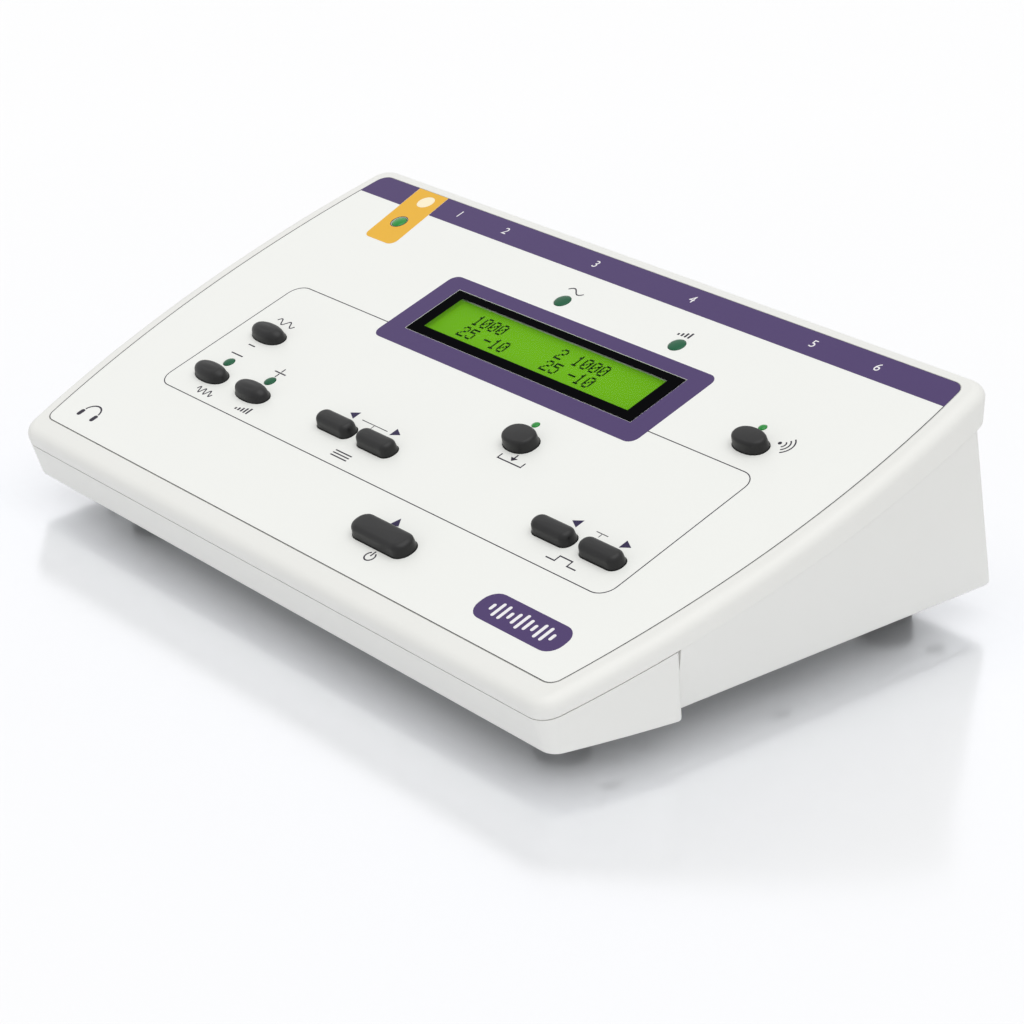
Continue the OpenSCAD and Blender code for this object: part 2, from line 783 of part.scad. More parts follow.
module panel_overlay() {
    color([0.94, 0.94, 0.93])
        difference() {
            panel(0, 0, overlay_t) linear_extrude(overlay_t) outline(0, 0, 0, overlay_r);
            key_holes(2 * overlay_t, 4 * overlay_t);
            lamp_holes(2 * overlay_t, 4 * overlay_t);
            window_block(window_w + 2 * window_gap, window_h + 2 * window_gap, 4 * overlay_t,
                2 * overlay_t);
        }
}

module display_window() {
    color([0.1, 0.12, 0.1, 0.5]) window_block(window_w, window_h, window_t, window_t);
}

module display_frame() {
    color(chip_black)
        difference() {
            window_block(
                view_w + 2 * guide_rim + 2 * frame_wall, view_h + 2 * guide_rim + 2 * frame_wall,
                frame_t, display_board_top
            );
            window_block(
                view_w + 2 * guide_rim, view_h + 2 * guide_rim,
                2 * frame_t, display_board_top + cut
            );
        }
}

// The glass lies on the frame and fills the deck's opening under the window
module display_glass() {
    inset = 2 * (ledge_w + glass_play);
    color([0.4, 0.75, 0.15])
        window_block(window_w - inset, window_h - inset, display_drop - glass_drop, display_drop);
}

module display_backlight() {
    color([0.9, 0.95, 0.8])
        window_block(
            view_w + 2 * guide_rim - window_gap, view_h + 2 * guide_rim - window_gap,
            frame_t, display_board_top
        );
}

module display_board() {
    color(board_green)
        difference() {
            window_block(module_w, module_h, board_t, display_board_under);
            panel(0, 0, display_board_under + cut)
                posts(display_posts, board_screw_r + screw_play, board_t + 2 * cut);
        }
}

module button_board() {
    color(board_green)
        difference() {
            panel(-key_board_half, key_board_front, key_board_under)
                cube([2 * key_board_half, key_board_rear - key_board_front, board_t]);
            panel(0, 0, key_board_under + cut)
                posts(board_posts, board_screw_r + screw_play, board_t + 2 * cut);
        }
}

module switch_housings() {
    color(chip_black)
        for (k = keys) {
            difference() {
                panel(k[0] - switch_w / 2, k[1] - switch_w / 2, switch_bottom)
                    cube([switch_w, switch_w, switch_h]);
                panel(k[0], k[1], switch_bottom - switch_floor)
                    cylinder(h = switch_h, r = plunger_r + plunger_play);
            }
        }
}

module light_pipes() {
    color([0.1, 0.45, 0.25])
        for (p = lamps) {
            difference() {
                panel(p[0], p[1], switch_bottom) {
                    cylinder(h = switch_bottom + lamp_stand, r = p[2]);
                    cylinder(h = pipe_foot_h, r = p[2] + pipe_foot_w);
                }
                light_chip(p, display_play, cut);
            }
        }
}

// A light chip on the button board, grown by some play and reaching below it
module light_chip(p, play, below) {
    side = light_chip_w + 2 * play;
    panel(p[0] - side / 2, p[1] - side / 2, switch_bottom + below)
        cube([side, side, light_chip_h + play + below]);
}

module light_chips() {
    color([0.9, 0.9, 0.85])
        for (p = lamps) light_chip(p, 0, 0);
}

module power_lamp() {
    color([0.2, 0.7, 0.25]) {
        panel(-power_lamp_x, power_lamp_s, switch_bottom / 2) {
            cylinder(h = switch_bottom / 2 - power_lamp_r + rim_rise / 2, r = power_lamp_r);
            translate([0, 0, switch_bottom / 2 - power_lamp_r + rim_rise / 2])
                sphere(r = power_lamp_r);
        }
    }
    color(steel)
        for (x = [-1, 1])
            panel(
                -power_lamp_x + x * power_lamp_r / 2 - lead_w / 2, power_lamp_s - lead_w / 2,
                switch_bottom
            )
                cube([lead_w, lead_w, switch_bottom / 2]);
}

module main_board() {
    color(board_green)
        difference() {
            translate([-main_board_w / 2, main_board_y - main_board_d / 2, main_board_z])
                cube([main_board_w, main_board_d, board_t]);
            posts(main_posts, board_screw_r + screw_play, far);
        }
}

module main_chips() {
    color(chip_black)
        for (i = [-2:2]) {
            side = chip_w - chip_step * abs(i);
            translate([
                i * chip_pitch - side / 2, main_board_y - side / 2, main_board_z + board_t
            ])
                cube([side, side, chip_t]);
        }
}

module filter_capacitors() {
    row_y = main_board_y + main_board_d / 2 - cap_rear;
    color([0.2, 0.25, 0.45])
        for (x = [-1, 1]) for (i = [0, 1])
            translate([
                x * (main_board_w / 2 - cap_in - i * cap_pitch), row_y, main_board_z + board_t
            ])
                cylinder(h = cap_h, r = cap_r);
}

// The button board's ribbon drops to a plug on the main board
lower_plug_y = main_board_y - main_board_d / 2 + lower_plug_in;
lower_plug_top = main_board_z + board_t + plug_h;
plug_l = ribbon_w + 2 * plug_end;

module upper_ribbon_plugs() {
    color(chip_black) {
        panel(
            upper_plug_x - plug_l / 2, upper_plug_s - plug_d / 2, key_board_under + plug_h
        )
            cube([plug_l, plug_d, plug_h]);
        translate([upper_plug_x - plug_l / 2, lower_plug_y - plug_d / 2, main_board_z + board_t])
            cube([plug_l, plug_d, plug_h]);
    }
}

module upper_ribbon() {
    top_y = world_y(upper_plug_s, -key_board_under - plug_h);
    top_z = world_z(upper_plug_s, -key_board_under - plug_h) - ribbon_t * tan(panel_tilt);
    lead = (top_z - lower_plug_top) / 4;
    color([0.6, 0.62, 0.66])
        translate([upper_plug_x - ribbon_w / 2, 0, 0])
            rotate([90, 0, 90])
                linear_extrude(ribbon_w)
                    polygon([
                        [top_y - ribbon_t / 2, top_z],
                        [top_y - ribbon_t / 2, top_z - lead],
                        [lower_plug_y - ribbon_t / 2, lower_plug_top + lead],
                        [lower_plug_y - ribbon_t / 2, lower_plug_top],
                        [lower_plug_y + ribbon_t / 2, lower_plug_top],
                        [lower_plug_y + ribbon_t / 2, lower_plug_top + lead],
                        [top_y + ribbon_t / 2, top_z - lead],
                        [top_y + ribbon_t / 2, top_z]
                    ]);
}

// The socket board's ribbon runs straight up to the button board
rear_plug_s = socket_board_front + plug_d;

module rear_ribbon_plugs() {
    color(chip_black)
        for (depth = [key_board_under + plug_h, socket_board_depth])
            panel(-rear_plug_x - plug_l / 2, rear_plug_s - plug_d / 2, depth)
                cube([plug_l, plug_d, plug_h]);
}

module rear_ribbon() {
    color([0.6, 0.62, 0.66])
        panel(-rear_plug_x - ribbon_w / 2, rear_plug_s - ribbon_t / 2, socket_board_depth - plug_h)
            cube([
                ribbon_w, ribbon_t, socket_board_depth - key_board_under - 2 * plug_h
            ]);
}

module socket_board() {
    left = -inlet_x - inlet_size;
    right = right_ear_x + jack_w / 2 + socket_board_end;
    color(board_green)
        panel(left, socket_board_front, socket_board_depth + board_t)
            cube([right - left, socket_board_len, board_t]);
}

module socket(x, n, w, h, d, bush_r, bore_r) {
    color(chip_black)
        difference() {
            union() {
                panel(x - w / 2, socket_face_s - d, n + h / 2) cube([w, d, h]);
                along_s(x, socket_face_s - bush_root, n)
                    cylinder(h = socket_mouth_s - socket_face_s + bush_root, r = bush_r);
            }
            along_s(x, socket_face_s - d + bush_root, n) cylinder(h = far, r = bore_r);
        }
}

module headset_socket(x) {
    socket(x, jack_n, jack_w, jack_h, jack_d, jack_bush_r, jack_bore_r);
}

module microphone_socket() {
    socket(mic_x, mic_n, mic_size, mic_size, mic_d, mic_bush_r, mic_bore_r);
}

module power_inlet() {
    socket(-inlet_x, inlet_n, inlet_size, inlet_size, inlet_d, inlet_bush_r, inlet_bore_r);
}

module power_inlet_pin() {
    color(steel)
        along_s(-inlet_x, socket_face_s - inlet_d + bush_root, inlet_n)
            cylinder(
                h = socket_mouth_s - socket_face_s + inlet_d - 2 * bush_root, r = inlet_pin_r
            );
}

module nut(x, n, bush_r) {
    face_s = wall_s(n - bush_r - nut_ring) + skin;
    difference() {
        along_s(x, face_s, n) cylinder(h = nut_t, r = bush_r + nut_ring);
        along_s(x, face_s - cut, n) cylinder(h = nut_t + 2 * cut, r = bush_r + skin);
    }
}

module socket_nuts() {
    color(steel) {
        for (x = [-handset_x, -high_x, left_ear_x, right_ear_x]) nut(x, jack_n, jack_bush_r);
        nut(mic_x, mic_n, mic_bush_r);
        nut(-inlet_x, inlet_n, inlet_bush_r);
    }
}

module screws(points, shank_r, shank_l, head_r, head_h) {
    color(steel)
        for (p = points)
            translate([p[0], p[1], 0]) {
                translate([0, 0, -head_h]) cylinder(h = head_h, r = head_r);
                cylinder(h = shank_l, r = shank_r - skin);
            }
}

module case_screws() {
    translate([0, 0, head_seat_z])
        screws(case_posts, case_screw_r, case_screw_len, case_head_r, case_head_h);
}

module button_board_screws() {
    panel(0, 0, key_board_under)
        screws(board_posts, board_screw_r, board_screw_len, board_head_r, board_head_h);
}

module display_screws() {
    panel(0, 0, display_board_under)
        screws(
            display_posts, board_screw_r, short_screw_len, board_head_r,
            (switch_bottom - display_board_under) / 2
        );
}

module main_board_screws() {
    translate([0, 0, main_board_z + board_t])
        mirror([0, 0, 1])
            screws(main_posts, board_screw_r, short_screw_len, board_head_r, board_head_h);
}

module rubber_feet() {
    color(rubber_black)
        for (p = feet_posts)
            translate([p[0], p[1], 0]) {
                cylinder(h = base_h, r1 = foot_low_r, r2 = foot_top_r);
                cylinder(h = floor_top + peg_stand, r = peg_r - skin);
            }
}

module button(k) {
    color(rubber_black)
        panel(k[0], k[1], 0) {
            hull()
                for (p = profiles[k[5]])
                    translate([0, 0, p[1] * k[4] - skin])
                        linear_extrude(skin) polygon(key_points(k, -p[0] * k[3]));
            translate([0, 0, -flange_top - skin])
                linear_extrude(flange_top + skin) polygon(key_points(k, 0));
            translate([0, 0, -stem_top])
                linear_extrude(flange_t) polygon(key_points(k, key_gap + flange_w));
            translate([0, 0, -plunger_top]) cylinder(h = stem_len + skin, r = stem_r);
        }
}

module plunger(k) {
    color([0.85, 0.85, 0.8])
        panel(k[0], k[1], plunger_bottom)
            cylinder(h = plunger_bottom - plunger_top, r = plunger_r);
}

top_shell();
base_shell();
panel_overlay();
display_window();
display_frame();
display_glass();
display_backlight();
display_board();
button_board();
switch_housings();
light_pipes();
light_chips();
power_lamp();
main_board();
main_chips();
filter_capacitors();
upper_ribbon_plugs();
upper_ribbon();
rear_ribbon_plugs();
rear_ribbon();
socket_board();
headset_socket(left_ear_x);  // left_headset_socket
headset_socket(right_ear_x);  // right_headset_socket
headset_socket(-high_x);  // high_frequency_socket
headset_socket(-handset_x);  // handset_socket
microphone_socket();
power_inlet();
power_inlet_pin();
socket_nuts();
case_screws();
button_board_screws();
display_screws();
main_board_screws();
rubber_feet();
button(keys[0]);  // tone_button
button(keys[1]);  // frequency_button
button(keys[2]);  // level_button
button(keys[3]);  // menu_left_button
button(keys[4]);  // menu_right_button
button(keys[5]);  // store_button
button(keys[6]);  // talk_button
button(keys[7]);  // power_button
button(keys[8]);  // response_left_button
button(keys[9]);  // response_right_button
plunger(keys[0]);  // tone_plunger
plunger(keys[1]);  // frequency_plunger
plunger(keys[2]);  // level_plunger
plunger(keys[3]);  // menu_left_plunger
plunger(keys[4]);  // menu_right_plunger
plunger(keys[5]);  // store_plunger
plunger(keys[6]);  // talk_plunger
plunger(keys[7]);  // power_plunger
plunger(keys[8]);  // response_left_plunger
plunger(keys[9]);  // response_right_plunger
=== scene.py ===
# %% [markdown]
# # A desk-top screening audiometer
#
# The real object is a sloped two-part case of warm white moulded plastic. A printed overlay
# lies in a shallow recess on top, with a text display, ten rubber buttons and a few green
# lights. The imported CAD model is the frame: it says how large everything is and where it
# sits. This script gives each piece its finish, and makes finer meshes where a moulding,
# a rubber cap or a printed mark needs more than a plain solid.

# %% Load the frame
import json
import math

import bmesh
import bpy
from mathutils import Matrix, Vector


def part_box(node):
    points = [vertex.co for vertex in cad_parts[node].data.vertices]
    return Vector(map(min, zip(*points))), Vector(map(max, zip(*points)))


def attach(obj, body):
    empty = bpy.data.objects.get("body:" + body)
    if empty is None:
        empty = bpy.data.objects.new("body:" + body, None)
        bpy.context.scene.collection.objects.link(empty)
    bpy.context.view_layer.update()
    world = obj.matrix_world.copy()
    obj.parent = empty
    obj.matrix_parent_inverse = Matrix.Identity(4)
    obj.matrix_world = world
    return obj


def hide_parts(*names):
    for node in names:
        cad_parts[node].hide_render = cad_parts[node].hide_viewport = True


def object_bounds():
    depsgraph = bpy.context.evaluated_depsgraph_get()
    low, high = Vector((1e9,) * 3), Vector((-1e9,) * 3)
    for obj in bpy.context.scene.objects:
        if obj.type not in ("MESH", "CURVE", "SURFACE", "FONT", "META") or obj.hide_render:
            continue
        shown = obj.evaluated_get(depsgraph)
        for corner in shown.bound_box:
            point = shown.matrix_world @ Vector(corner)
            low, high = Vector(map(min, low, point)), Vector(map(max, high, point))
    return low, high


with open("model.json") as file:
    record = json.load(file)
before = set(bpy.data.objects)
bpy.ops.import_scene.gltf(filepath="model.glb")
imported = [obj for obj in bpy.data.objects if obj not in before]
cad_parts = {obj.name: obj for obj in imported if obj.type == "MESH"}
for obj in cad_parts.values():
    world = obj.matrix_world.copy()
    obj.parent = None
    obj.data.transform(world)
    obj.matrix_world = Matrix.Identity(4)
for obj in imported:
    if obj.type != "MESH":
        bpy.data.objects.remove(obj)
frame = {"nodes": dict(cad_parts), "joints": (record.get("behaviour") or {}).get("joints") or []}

cad_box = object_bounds()
print("frame, mm:", [round(1000 * side, 1) for side in cad_box[1] - cad_box[0]])

# %% [markdown]
# ## The panel's own axes
#
# Nearly everything that shows lies on the sloped panel, so it is easiest to think in the
# panel's axes: x across, s up the slope and n square to it, in millimetres, with n = 0 at
# the overlay's top. The slope comes from the direction in which a button travels, and the
# origin from the overlay's own box, so nothing is fitted by eye. One matrix then carries a
# point from the panel into the frame.

# %% Panel axes
MM = 0.001
OVERLAY_T = 0.6
press_way = Vector(frame["joints"][0]["axis"])
TILT = math.atan2(press_way.y, -press_way.z)
overlay_low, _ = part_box("panel_overlay")
panel_origin = Vector((0, overlay_low.y, overlay_low.z + OVERLAY_T * MM * math.cos(TILT)))
PANEL = Matrix.Translation(panel_origin) @ Matrix.Rotation(TILT, 4, "X") @ Matrix.Scale(MM, 4)
FRAME_MM = Matrix.Scale(MM, 4)
TO_PANEL = PANEL.inverted()
print("slope, degrees:", round(math.degrees(TILT), 2))


def panel_box(node):
    """Lowest and highest corner of a CAD node in the panel's axes, in millimetres."""
    corners = [TO_PANEL @ v.co for v in frame["nodes"][node].data.vertices]
    return Vector(map(min, zip(*corners))), Vector(map(max, zip(*corners)))


# %% [markdown]
# ## The camera
#
# The photograph's lens was worked out from the overlay's known corners: a long lens from the
# front right, looking down. The camera stands where that puts it, so that the render and the
# photograph lie over each other. Its place is in metres, ahead of the panel's front edge.

# %% Camera
VIEW_AZIMUTH = 50.037
VIEW_ELEVATION = 23.373
FOCAL_PIXELS = 2852.34
PICTURE_PIXELS = 1024
SENSOR = 36
CAMERA_RIGHT, CAMERA_AHEAD, CAMERA_UP = 0.60387, 0.418287, 0.35128
NEAREST, FARTHEST = 0.05, 20
camera_data = bpy.data.cameras.new("photo_lens")
camera_data.sensor_width = SENSOR
camera_data.lens = FOCAL_PIXELS * SENSOR / PICTURE_PIXELS
camera_data.clip_start = NEAREST
camera_data.clip_end = FARTHEST
camera = bpy.data.objects.new("photo_camera", camera_data)
bpy.context.scene.collection.objects.link(camera)
camera.location = (CAMERA_RIGHT, panel_origin.y - CAMERA_AHEAD, CAMERA_UP)
camera.rotation_euler = (math.radians(90 - VIEW_ELEVATION), 0, math.radians(VIEW_AZIMUTH))
bpy.context.scene.camera = camera
print("lens, mm:", round(camera_data.lens, 1))

# %% [markdown]
# ## Shader maths as ordinary maths
#
# A finish is a small graph of nodes. Written one node at a time it is hard to read, so a
# socket is wrapped in a class that knows +, -, * and /, and one method adds any other node:
# its type, its settings and what goes into its sockets. The same method builds Geometry
# Nodes trees later on.

# %% Trees and sockets
NOISE_DETAIL = 2


class Socket:
    """One output of a node, which can stand in a sum."""

    def __init__(self, tree, link):
        self.tree = tree
        self.link = link

    def __add__(self, other):
        return self.tree.maths("ADD", self, other)

    def __radd__(self, other):
        return self.tree.maths("ADD", other, self)

    def __sub__(self, other):
        return self.tree.maths("SUBTRACT", self, other)

    def __mul__(self, other):
        return self.tree.maths("MULTIPLY", self, other)

    def __rmul__(self, other):
        return self.tree.maths("MULTIPLY", other, self)

    def __truediv__(self, other):
        return self.tree.maths("DIVIDE", self, other)


class Tree:
    """A node tree, with one method that adds any node to it and some for common ones."""

    def __init__(self, nodes_of):
        self.made = nodes_of

    def feed(self, socket, value):
        if isinstance(value, Socket):
            self.made.links.new(value.link, socket)
        else:
            socket.default_value = value

    def node(self, kind, settings=None, sockets=None, out=0):
        new = self.made.nodes.new(kind)
        for name, value in (settings or {}).items():
            setattr(new, name, value)
        for name, value in (sockets or {}).items():
            self.feed(new.inputs[name], value)
        return Socket(self, new.outputs[out])

    def maths(self, operation, *values):
        """A maths node, fed with one value or two."""
        return self.node("ShaderNodeMath", {"operation": operation}, dict(enumerate(values)))

    def mix(self, factor, first, second):
        """A colour between two colours."""
        sockets = {0: factor, 6: first, 7: second}
        return self.node("ShaderNodeMix", {"data_type": "RGBA"}, sockets, 2)

    def where(self):
        """The place that is being shaded, in metres."""
        return self.node("ShaderNodeTexCoord", out="Object")

    def split(self, vector):
        """The three parts of a vector."""
        parts = self.made.nodes.new("ShaderNodeSeparateXYZ")
        self.feed(parts.inputs[0], vector)
        return [Socket(self, part) for part in parts.outputs]

    def noise(self, size):
        """Cloudy values from 0 to 1 whose spots are about this many millimetres across."""
        spots = {"Vector": self.where(), "Scale": 1 / (size * MM), "Detail": NOISE_DETAIL}
        return self.node("ShaderNodeTexNoise", sockets=spots)


def srgb(red, green, blue):
    """A screen colour from 0 to 255 as the linear colour that shaders work in."""
    channels = [value / 255 for value in (red, green, blue)]
    linear = [c / 12.92 if c <= 0.04045 else ((c + 0.055) / 1.055) ** 2.4 for c in channels]
    return (*linear, 1)


# %% [markdown]
# ## Finishes
#
# A moulded plastic is never one flat colour: it is faintly cloudy, its gloss varies from
# spot to spot, and the mould leaves a fine grain. One builder makes that for every solid
# material here, from the colour, how much it clouds, the gloss, and the grain's width and
# depth in millimetres. Dark inks and rubber get a lower specular level, because a white
# studio would otherwise lay a veil over them. Materials that glow add to it below.

# %% Moulded and printed finishes
CLOUD_SIZE = 18
GLOSS_SPOTS = 3
RELIEF = 0.5


def finish(name, colour, cloud, gloss, grain, **constants):
    """A material with a cloudy colour, a varying gloss and a fine grain."""
    material = bpy.data.materials.new(name)
    material.use_nodes = True
    tree = Tree(material.node_tree)
    surface = material.node_tree.nodes["Principled BSDF"]
    shade = tuple(channel * (1 - cloud) for channel in colour[:3]) + (1,)
    tree.feed(surface.inputs["Base Color"], tree.mix(tree.noise(CLOUD_SIZE), shade, colour))
    low, high = gloss
    width, depth = grain
    spots = tree.noise(GLOSS_SPOTS * width)
    tree.feed(surface.inputs["Roughness"], low + (high - low) * spots)
    relief = {"Height": tree.noise(width), "Distance": depth * MM, "Strength": RELIEF}
    tree.feed(surface.inputs["Normal"], tree.node("ShaderNodeBump", sockets=relief))
    for socket, value in constants.items():
        surface.inputs[socket.replace("_", " ")].default_value = value
    return material


SATIN, MATT = (0.36, 0.44), (0.4, 0.5)
FILM_GRAIN = (0.25, 0.004)
VEIL = 0.15
CASE_WHITE = finish("case_plastic", srgb(235, 235, 231), 0.02, (0.42, 0.5), (0.35, 0.012))
OVERLAY_WHITE = finish("overlay_film", srgb(241, 242, 238), 0.01, (0.36, 0.42), FILM_GRAIN)
PURPLE_INK = finish("purple_ink", srgb(78, 61, 108), 0.06, SATIN, FILM_GRAIN,
                    Specular_IOR_Level=VEIL)
AMBER_INK = finish("amber_ink", srgb(236, 182, 60), 0.05, SATIN, FILM_GRAIN,
                   Specular_IOR_Level=VEIL)
CREAM_INK = finish("cream_ink", srgb(252, 240, 205), 0.02, SATIN, FILM_GRAIN)
# Dark ink is print, and also the painted shade line along the overlay's edge.
DARK_INK_AND_GAP_SHADE = finish("dark_ink_and_gap_shade", srgb(52, 48, 60), 0.1, MATT, FILM_GRAIN, Specular_IOR_Level=VEIL)
DARK_PURPLE_INK = finish("dark_purple_ink", srgb(46, 37, 74), 0.08, SATIN, FILM_GRAIN,
                         Specular_IOR_Level=VEIL)
BORDER_INK = finish("border_ink", srgb(14, 14, 16), 0.1, MATT, FILM_GRAIN, Specular_IOR_Level=0)
PALE_INK = finish("pale_ink", srgb(240, 238, 240), 0.02, MATT, FILM_GRAIN)
RUBBER = finish("black_rubber", srgb(22, 22, 23), 0.2, (0.38, 0.46), (0.18, 0.012),
                Specular_IOR_Level=0.36)
# Black plastic, and also the painted shade in the screws' cross recesses.
BLACK_PLASTIC_AND_RECESS_SHADE = finish("black_plastic", srgb(22, 22, 24), 0.2, MATT, (0.3, 0.008),
                       Specular_IOR_Level=VEIL)
CHIP_BLACK = finish("chip_epoxy", srgb(34, 34, 36), 0.2, (0.55, 0.65), (0.15, 0.01))
BOARD_GREEN = finish("board_lacquer", srgb(30, 92, 52), 0.25, (0.25, 0.4), (0.6, 0.02))
RIBBON_GREY = finish("ribbon_cable", srgb(150, 152, 158), 0.1, MATT, (0.8, 0.02))
SLEEVE_BLUE = finish("capacitor_sleeve", srgb(44, 54, 98), 0.1, (0.3, 0.4), (0.5, 0.01))
STEEL = finish("plated_steel", srgb(186, 188, 192), 0.08, (0.24, 0.36), (0.12, 0.003), Metallic=1)
DARK_STEEL = finish("dark_steel", srgb(96, 97, 100), 0.1, (0.3, 0.42), (0.12, 0.004), Metallic=1)
BACKLIGHT = finish("light_guide", srgb(225, 232, 205), 0.03, (0.3, 0.4), (0.5, 0.004))
print("finishes:", len(bpy.data.materials))

# %% [markdown]
# ## Finishes that let light through or give it
#
# The status lights are green mouldings that a chip lights from below. A lit one glows; an
# unlit one is just deep green. The display is a green glass with a light guide behind it, so
# it glows too. Towards its edges the glow is darker, partly as the backlight falls off and
# partly as painted shade from the border over it. The window over it is clear and thin, so
# it is made see-through with Alpha.

# %% Lenses, display glass and window
LENS_GLOW = 0.22
DISPLAY_GLOW = 0.55
EDGE_FALLOFF_AND_SHADE = 0.25


def glow(material, colour, strength):
    """Makes a finish give light of that colour."""
    surface = material.node_tree.nodes["Principled BSDF"]
    surface.inputs["Emission Color"].default_value = colour
    surface.inputs["Emission Strength"].default_value = strength
    return material


LENS_DARK = finish("dark_lens", srgb(16, 96, 62), 0.25, (0.15, 0.3), (1.2, 0.02),
                   Specular_IOR_Level=0.25)
LENS_LIT = glow(
    finish("lit_lens", srgb(14, 124, 44), 0.25, (0.12, 0.22), (1.2, 0.02),
           Specular_IOR_Level=0.4), srgb(20, 160, 50), LENS_GLOW
)


def display_green():
    """Green glass glowing in its middle; towards its frame, falloff and painted shade darken it.
    """
    low, high = panel_box("display_frame")
    material = finish("display_glass", srgb(88, 146, 16), 0.04, (0.3, 0.4), (1, 0.002),
                      Specular_IOR_Level=0)
    tree = Tree(material.node_tree)
    middle = Matrix.Rotation(-TILT, 3, "X") @ (PANEL @ ((low + high) / 2))
    turned = {"Vector": tree.where(), "Rotation": (-TILT, 0, 0), "Location": tuple(-middle)}
    x, s, _ = tree.split(tree.node("ShaderNodeMapping", sockets=turned))
    x_share = x / ((high.x - low.x) / 2 * MM)
    s_share = s / ((high.y - low.y) / 2 * MM)
    x_square = x_share * x_share
    # Darker towards the frame: partly the backlight falling off, partly painted shade from the
    # border.
    edge = x_square * x_square * EDGE_FALLOFF_AND_SHADE + s_share * s_share * EDGE_FALLOFF_AND_SHADE
    light = tree.mix(edge, srgb(118, 190, 32), srgb(52, 110, 12))
    surface = material.node_tree.nodes["Principled BSDF"]
    tree.feed(surface.inputs["Emission Color"], light)
    surface.inputs["Emission Strength"].default_value = DISPLAY_GLOW
    return material


DISPLAY_GREEN = display_green()
DISPLAY_INK = finish("display_dots", srgb(22, 44, 12), 0.1, MATT, (0.3, 0.002),
                     Specular_IOR_Level=0)
WINDOW_CLEAR = finish("clear_window", srgb(12, 14, 12), 0.05, (0.04, 0.07), (2, 0.001),
                      Alpha=0.08, Specular_IOR_Level=0.3)
WINDOW_CLEAR.surface_render_method = "BLENDED"

# %% [markdown]
# ## Floor, background and light
#
# The photograph shows a white background and a glossy white table, with soft light from
# above and a little more from the right. One wide sun lamp and an even white world give
# that. The world shows as pure white to the camera and in reflections, while what it lights
# the object with is set apart, so that a colour renders about as it is written. The table
# mirrors most close to the case: its Metallic halves with every few centimetres from there.

# %% Studio
WORLD_LIGHT = 0.55
SUN_LIGHT = 0.48 * math.pi
SUN_FROM = Vector((0.28, -0.15, 0.95))
SUN_SPREAD = math.radians(70)
FLOOR_HALF = 3.0
FLOOR_Z = -0.05 * MM
TABLE_WHITE = (0.98, 0.98, 0.985, 1)
MIRROR_WHITE = (0.955, 0.965, 1, 1)
MIRROR = 0.6
MIRROR_HALVES_IN = 72


def studio_world():
    world = bpy.data.worlds.new("white_studio")
    world.use_nodes = True
    bpy.context.scene.world = world
    tree = Tree(world.node_tree)
    path = world.node_tree.nodes.new("ShaderNodeLightPath")
    seen = [Socket(tree, path.outputs[name]) for name in
            ("Is Camera Ray", "Is Glossy Ray", "Is Transmission Ray")]
    shown = tree.maths("MINIMUM", seen[0] + seen[1] + seen[2], 1)
    background = world.node_tree.nodes["Background"]
    background.inputs["Color"].default_value = (1, 1, 1, 1)
    tree.feed(background.inputs["Strength"], WORLD_LIGHT + (1 - WORLD_LIGHT) * shown)


def studio_floor():
    mesh = bpy.data.meshes.new("floor")
    corners = [(x * FLOOR_HALF, y * FLOOR_HALF, FLOOR_Z)
               for x, y in ((-1, -1), (1, -1), (1, 1), (-1, 1))]
    mesh.from_pydata(corners, [], [(0, 1, 2, 3)])
    floor = bpy.data.objects.new("floor", mesh)
    bpy.context.scene.collection.objects.link(floor)
    gloss = finish("glossy_table", TABLE_WHITE, 0, (0.15, 0.17), (2, 0), IOR=1.5)
    tree = Tree(gloss.node_tree)
    apart = [tree.maths("MAXIMUM", tree.maths("ABSOLUTE", part) - edge, 0)
             for part, edge in zip(tree.split(tree.where())[:2], cad_box[1])]
    distance = tree.maths("SQRT", apart[0] * apart[0] + apart[1] * apart[1])
    fade = tree.maths("POWER", 0.5, distance / (MIRROR_HALVES_IN * MM))
    surface = gloss.node_tree.nodes["Principled BSDF"]
    tree.feed(surface.inputs["Metallic"], fade * MIRROR)
    tree.feed(surface.inputs["Base Color"], tree.mix(fade, TABLE_WHITE, MIRROR_WHITE))
    mesh.materials.append(gloss)


studio_world()
studio_floor()
sun_data = bpy.data.lights.new("soft_sun", "SUN")
sun_data.energy = SUN_LIGHT
sun_data.angle = SUN_SPREAD
sun = bpy.data.objects.new("soft_sun", sun_data)
sun.rotation_euler = SUN_FROM.to_track_quat("Z", "Y").to_euler()
bpy.context.scene.collection.objects.link(sun)
bpy.context.scene.view_settings.view_transform = "Standard"

# %% [markdown]
# ## Placing a piece
#
# Every mesh is made in millimetres and carried into the frame by a matrix, so its object
# stays at the origin. Edges that turn by more than a set angle are kept sharp and the rest
# are shaded smooth.

# %% Making and placing meshes
SHARP = math.radians(34)


def settle(name, work, material, body, slot, *stands_for):
    """Turns a bmesh into a piece that rides on a body, and may stand for CAD nodes."""
    for face in work.faces:
        face.smooth = True
    for edge in work.edges:
        edge.smooth = len(edge.link_faces) == 2 and edge.calc_face_angle(0) < SHARP
    mesh = bpy.data.meshes.new(name)
    work.to_mesh(mesh)
    work.free()
    mesh.materials.append(material)
    piece = bpy.data.objects.new(name, mesh)
    bpy.context.scene.collection.objects.link(piece)
    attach(piece, body)
    if stands_for:
        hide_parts(*stands_for)
    return piece


def loft(work, rings, place):
    """Adds a closed skin through rings of equally many points to a bmesh."""
    rows = [[work.verts.new(place @ Vector(point)) for point in ring] for ring in rings]
    count = len(rows[0])
    made = []
    for low, high in zip(rows, rows[1:]):
        for i in range(count):
            j = (i + 1) % count
            made.append(work.faces.new((low[i], low[j], high[j], high[i])))
    made.append(work.faces.new(rows[0][::-1]))
    made.append(work.faces.new(rows[-1]))
    bmesh.ops.recalc_face_normals(work, faces=made)


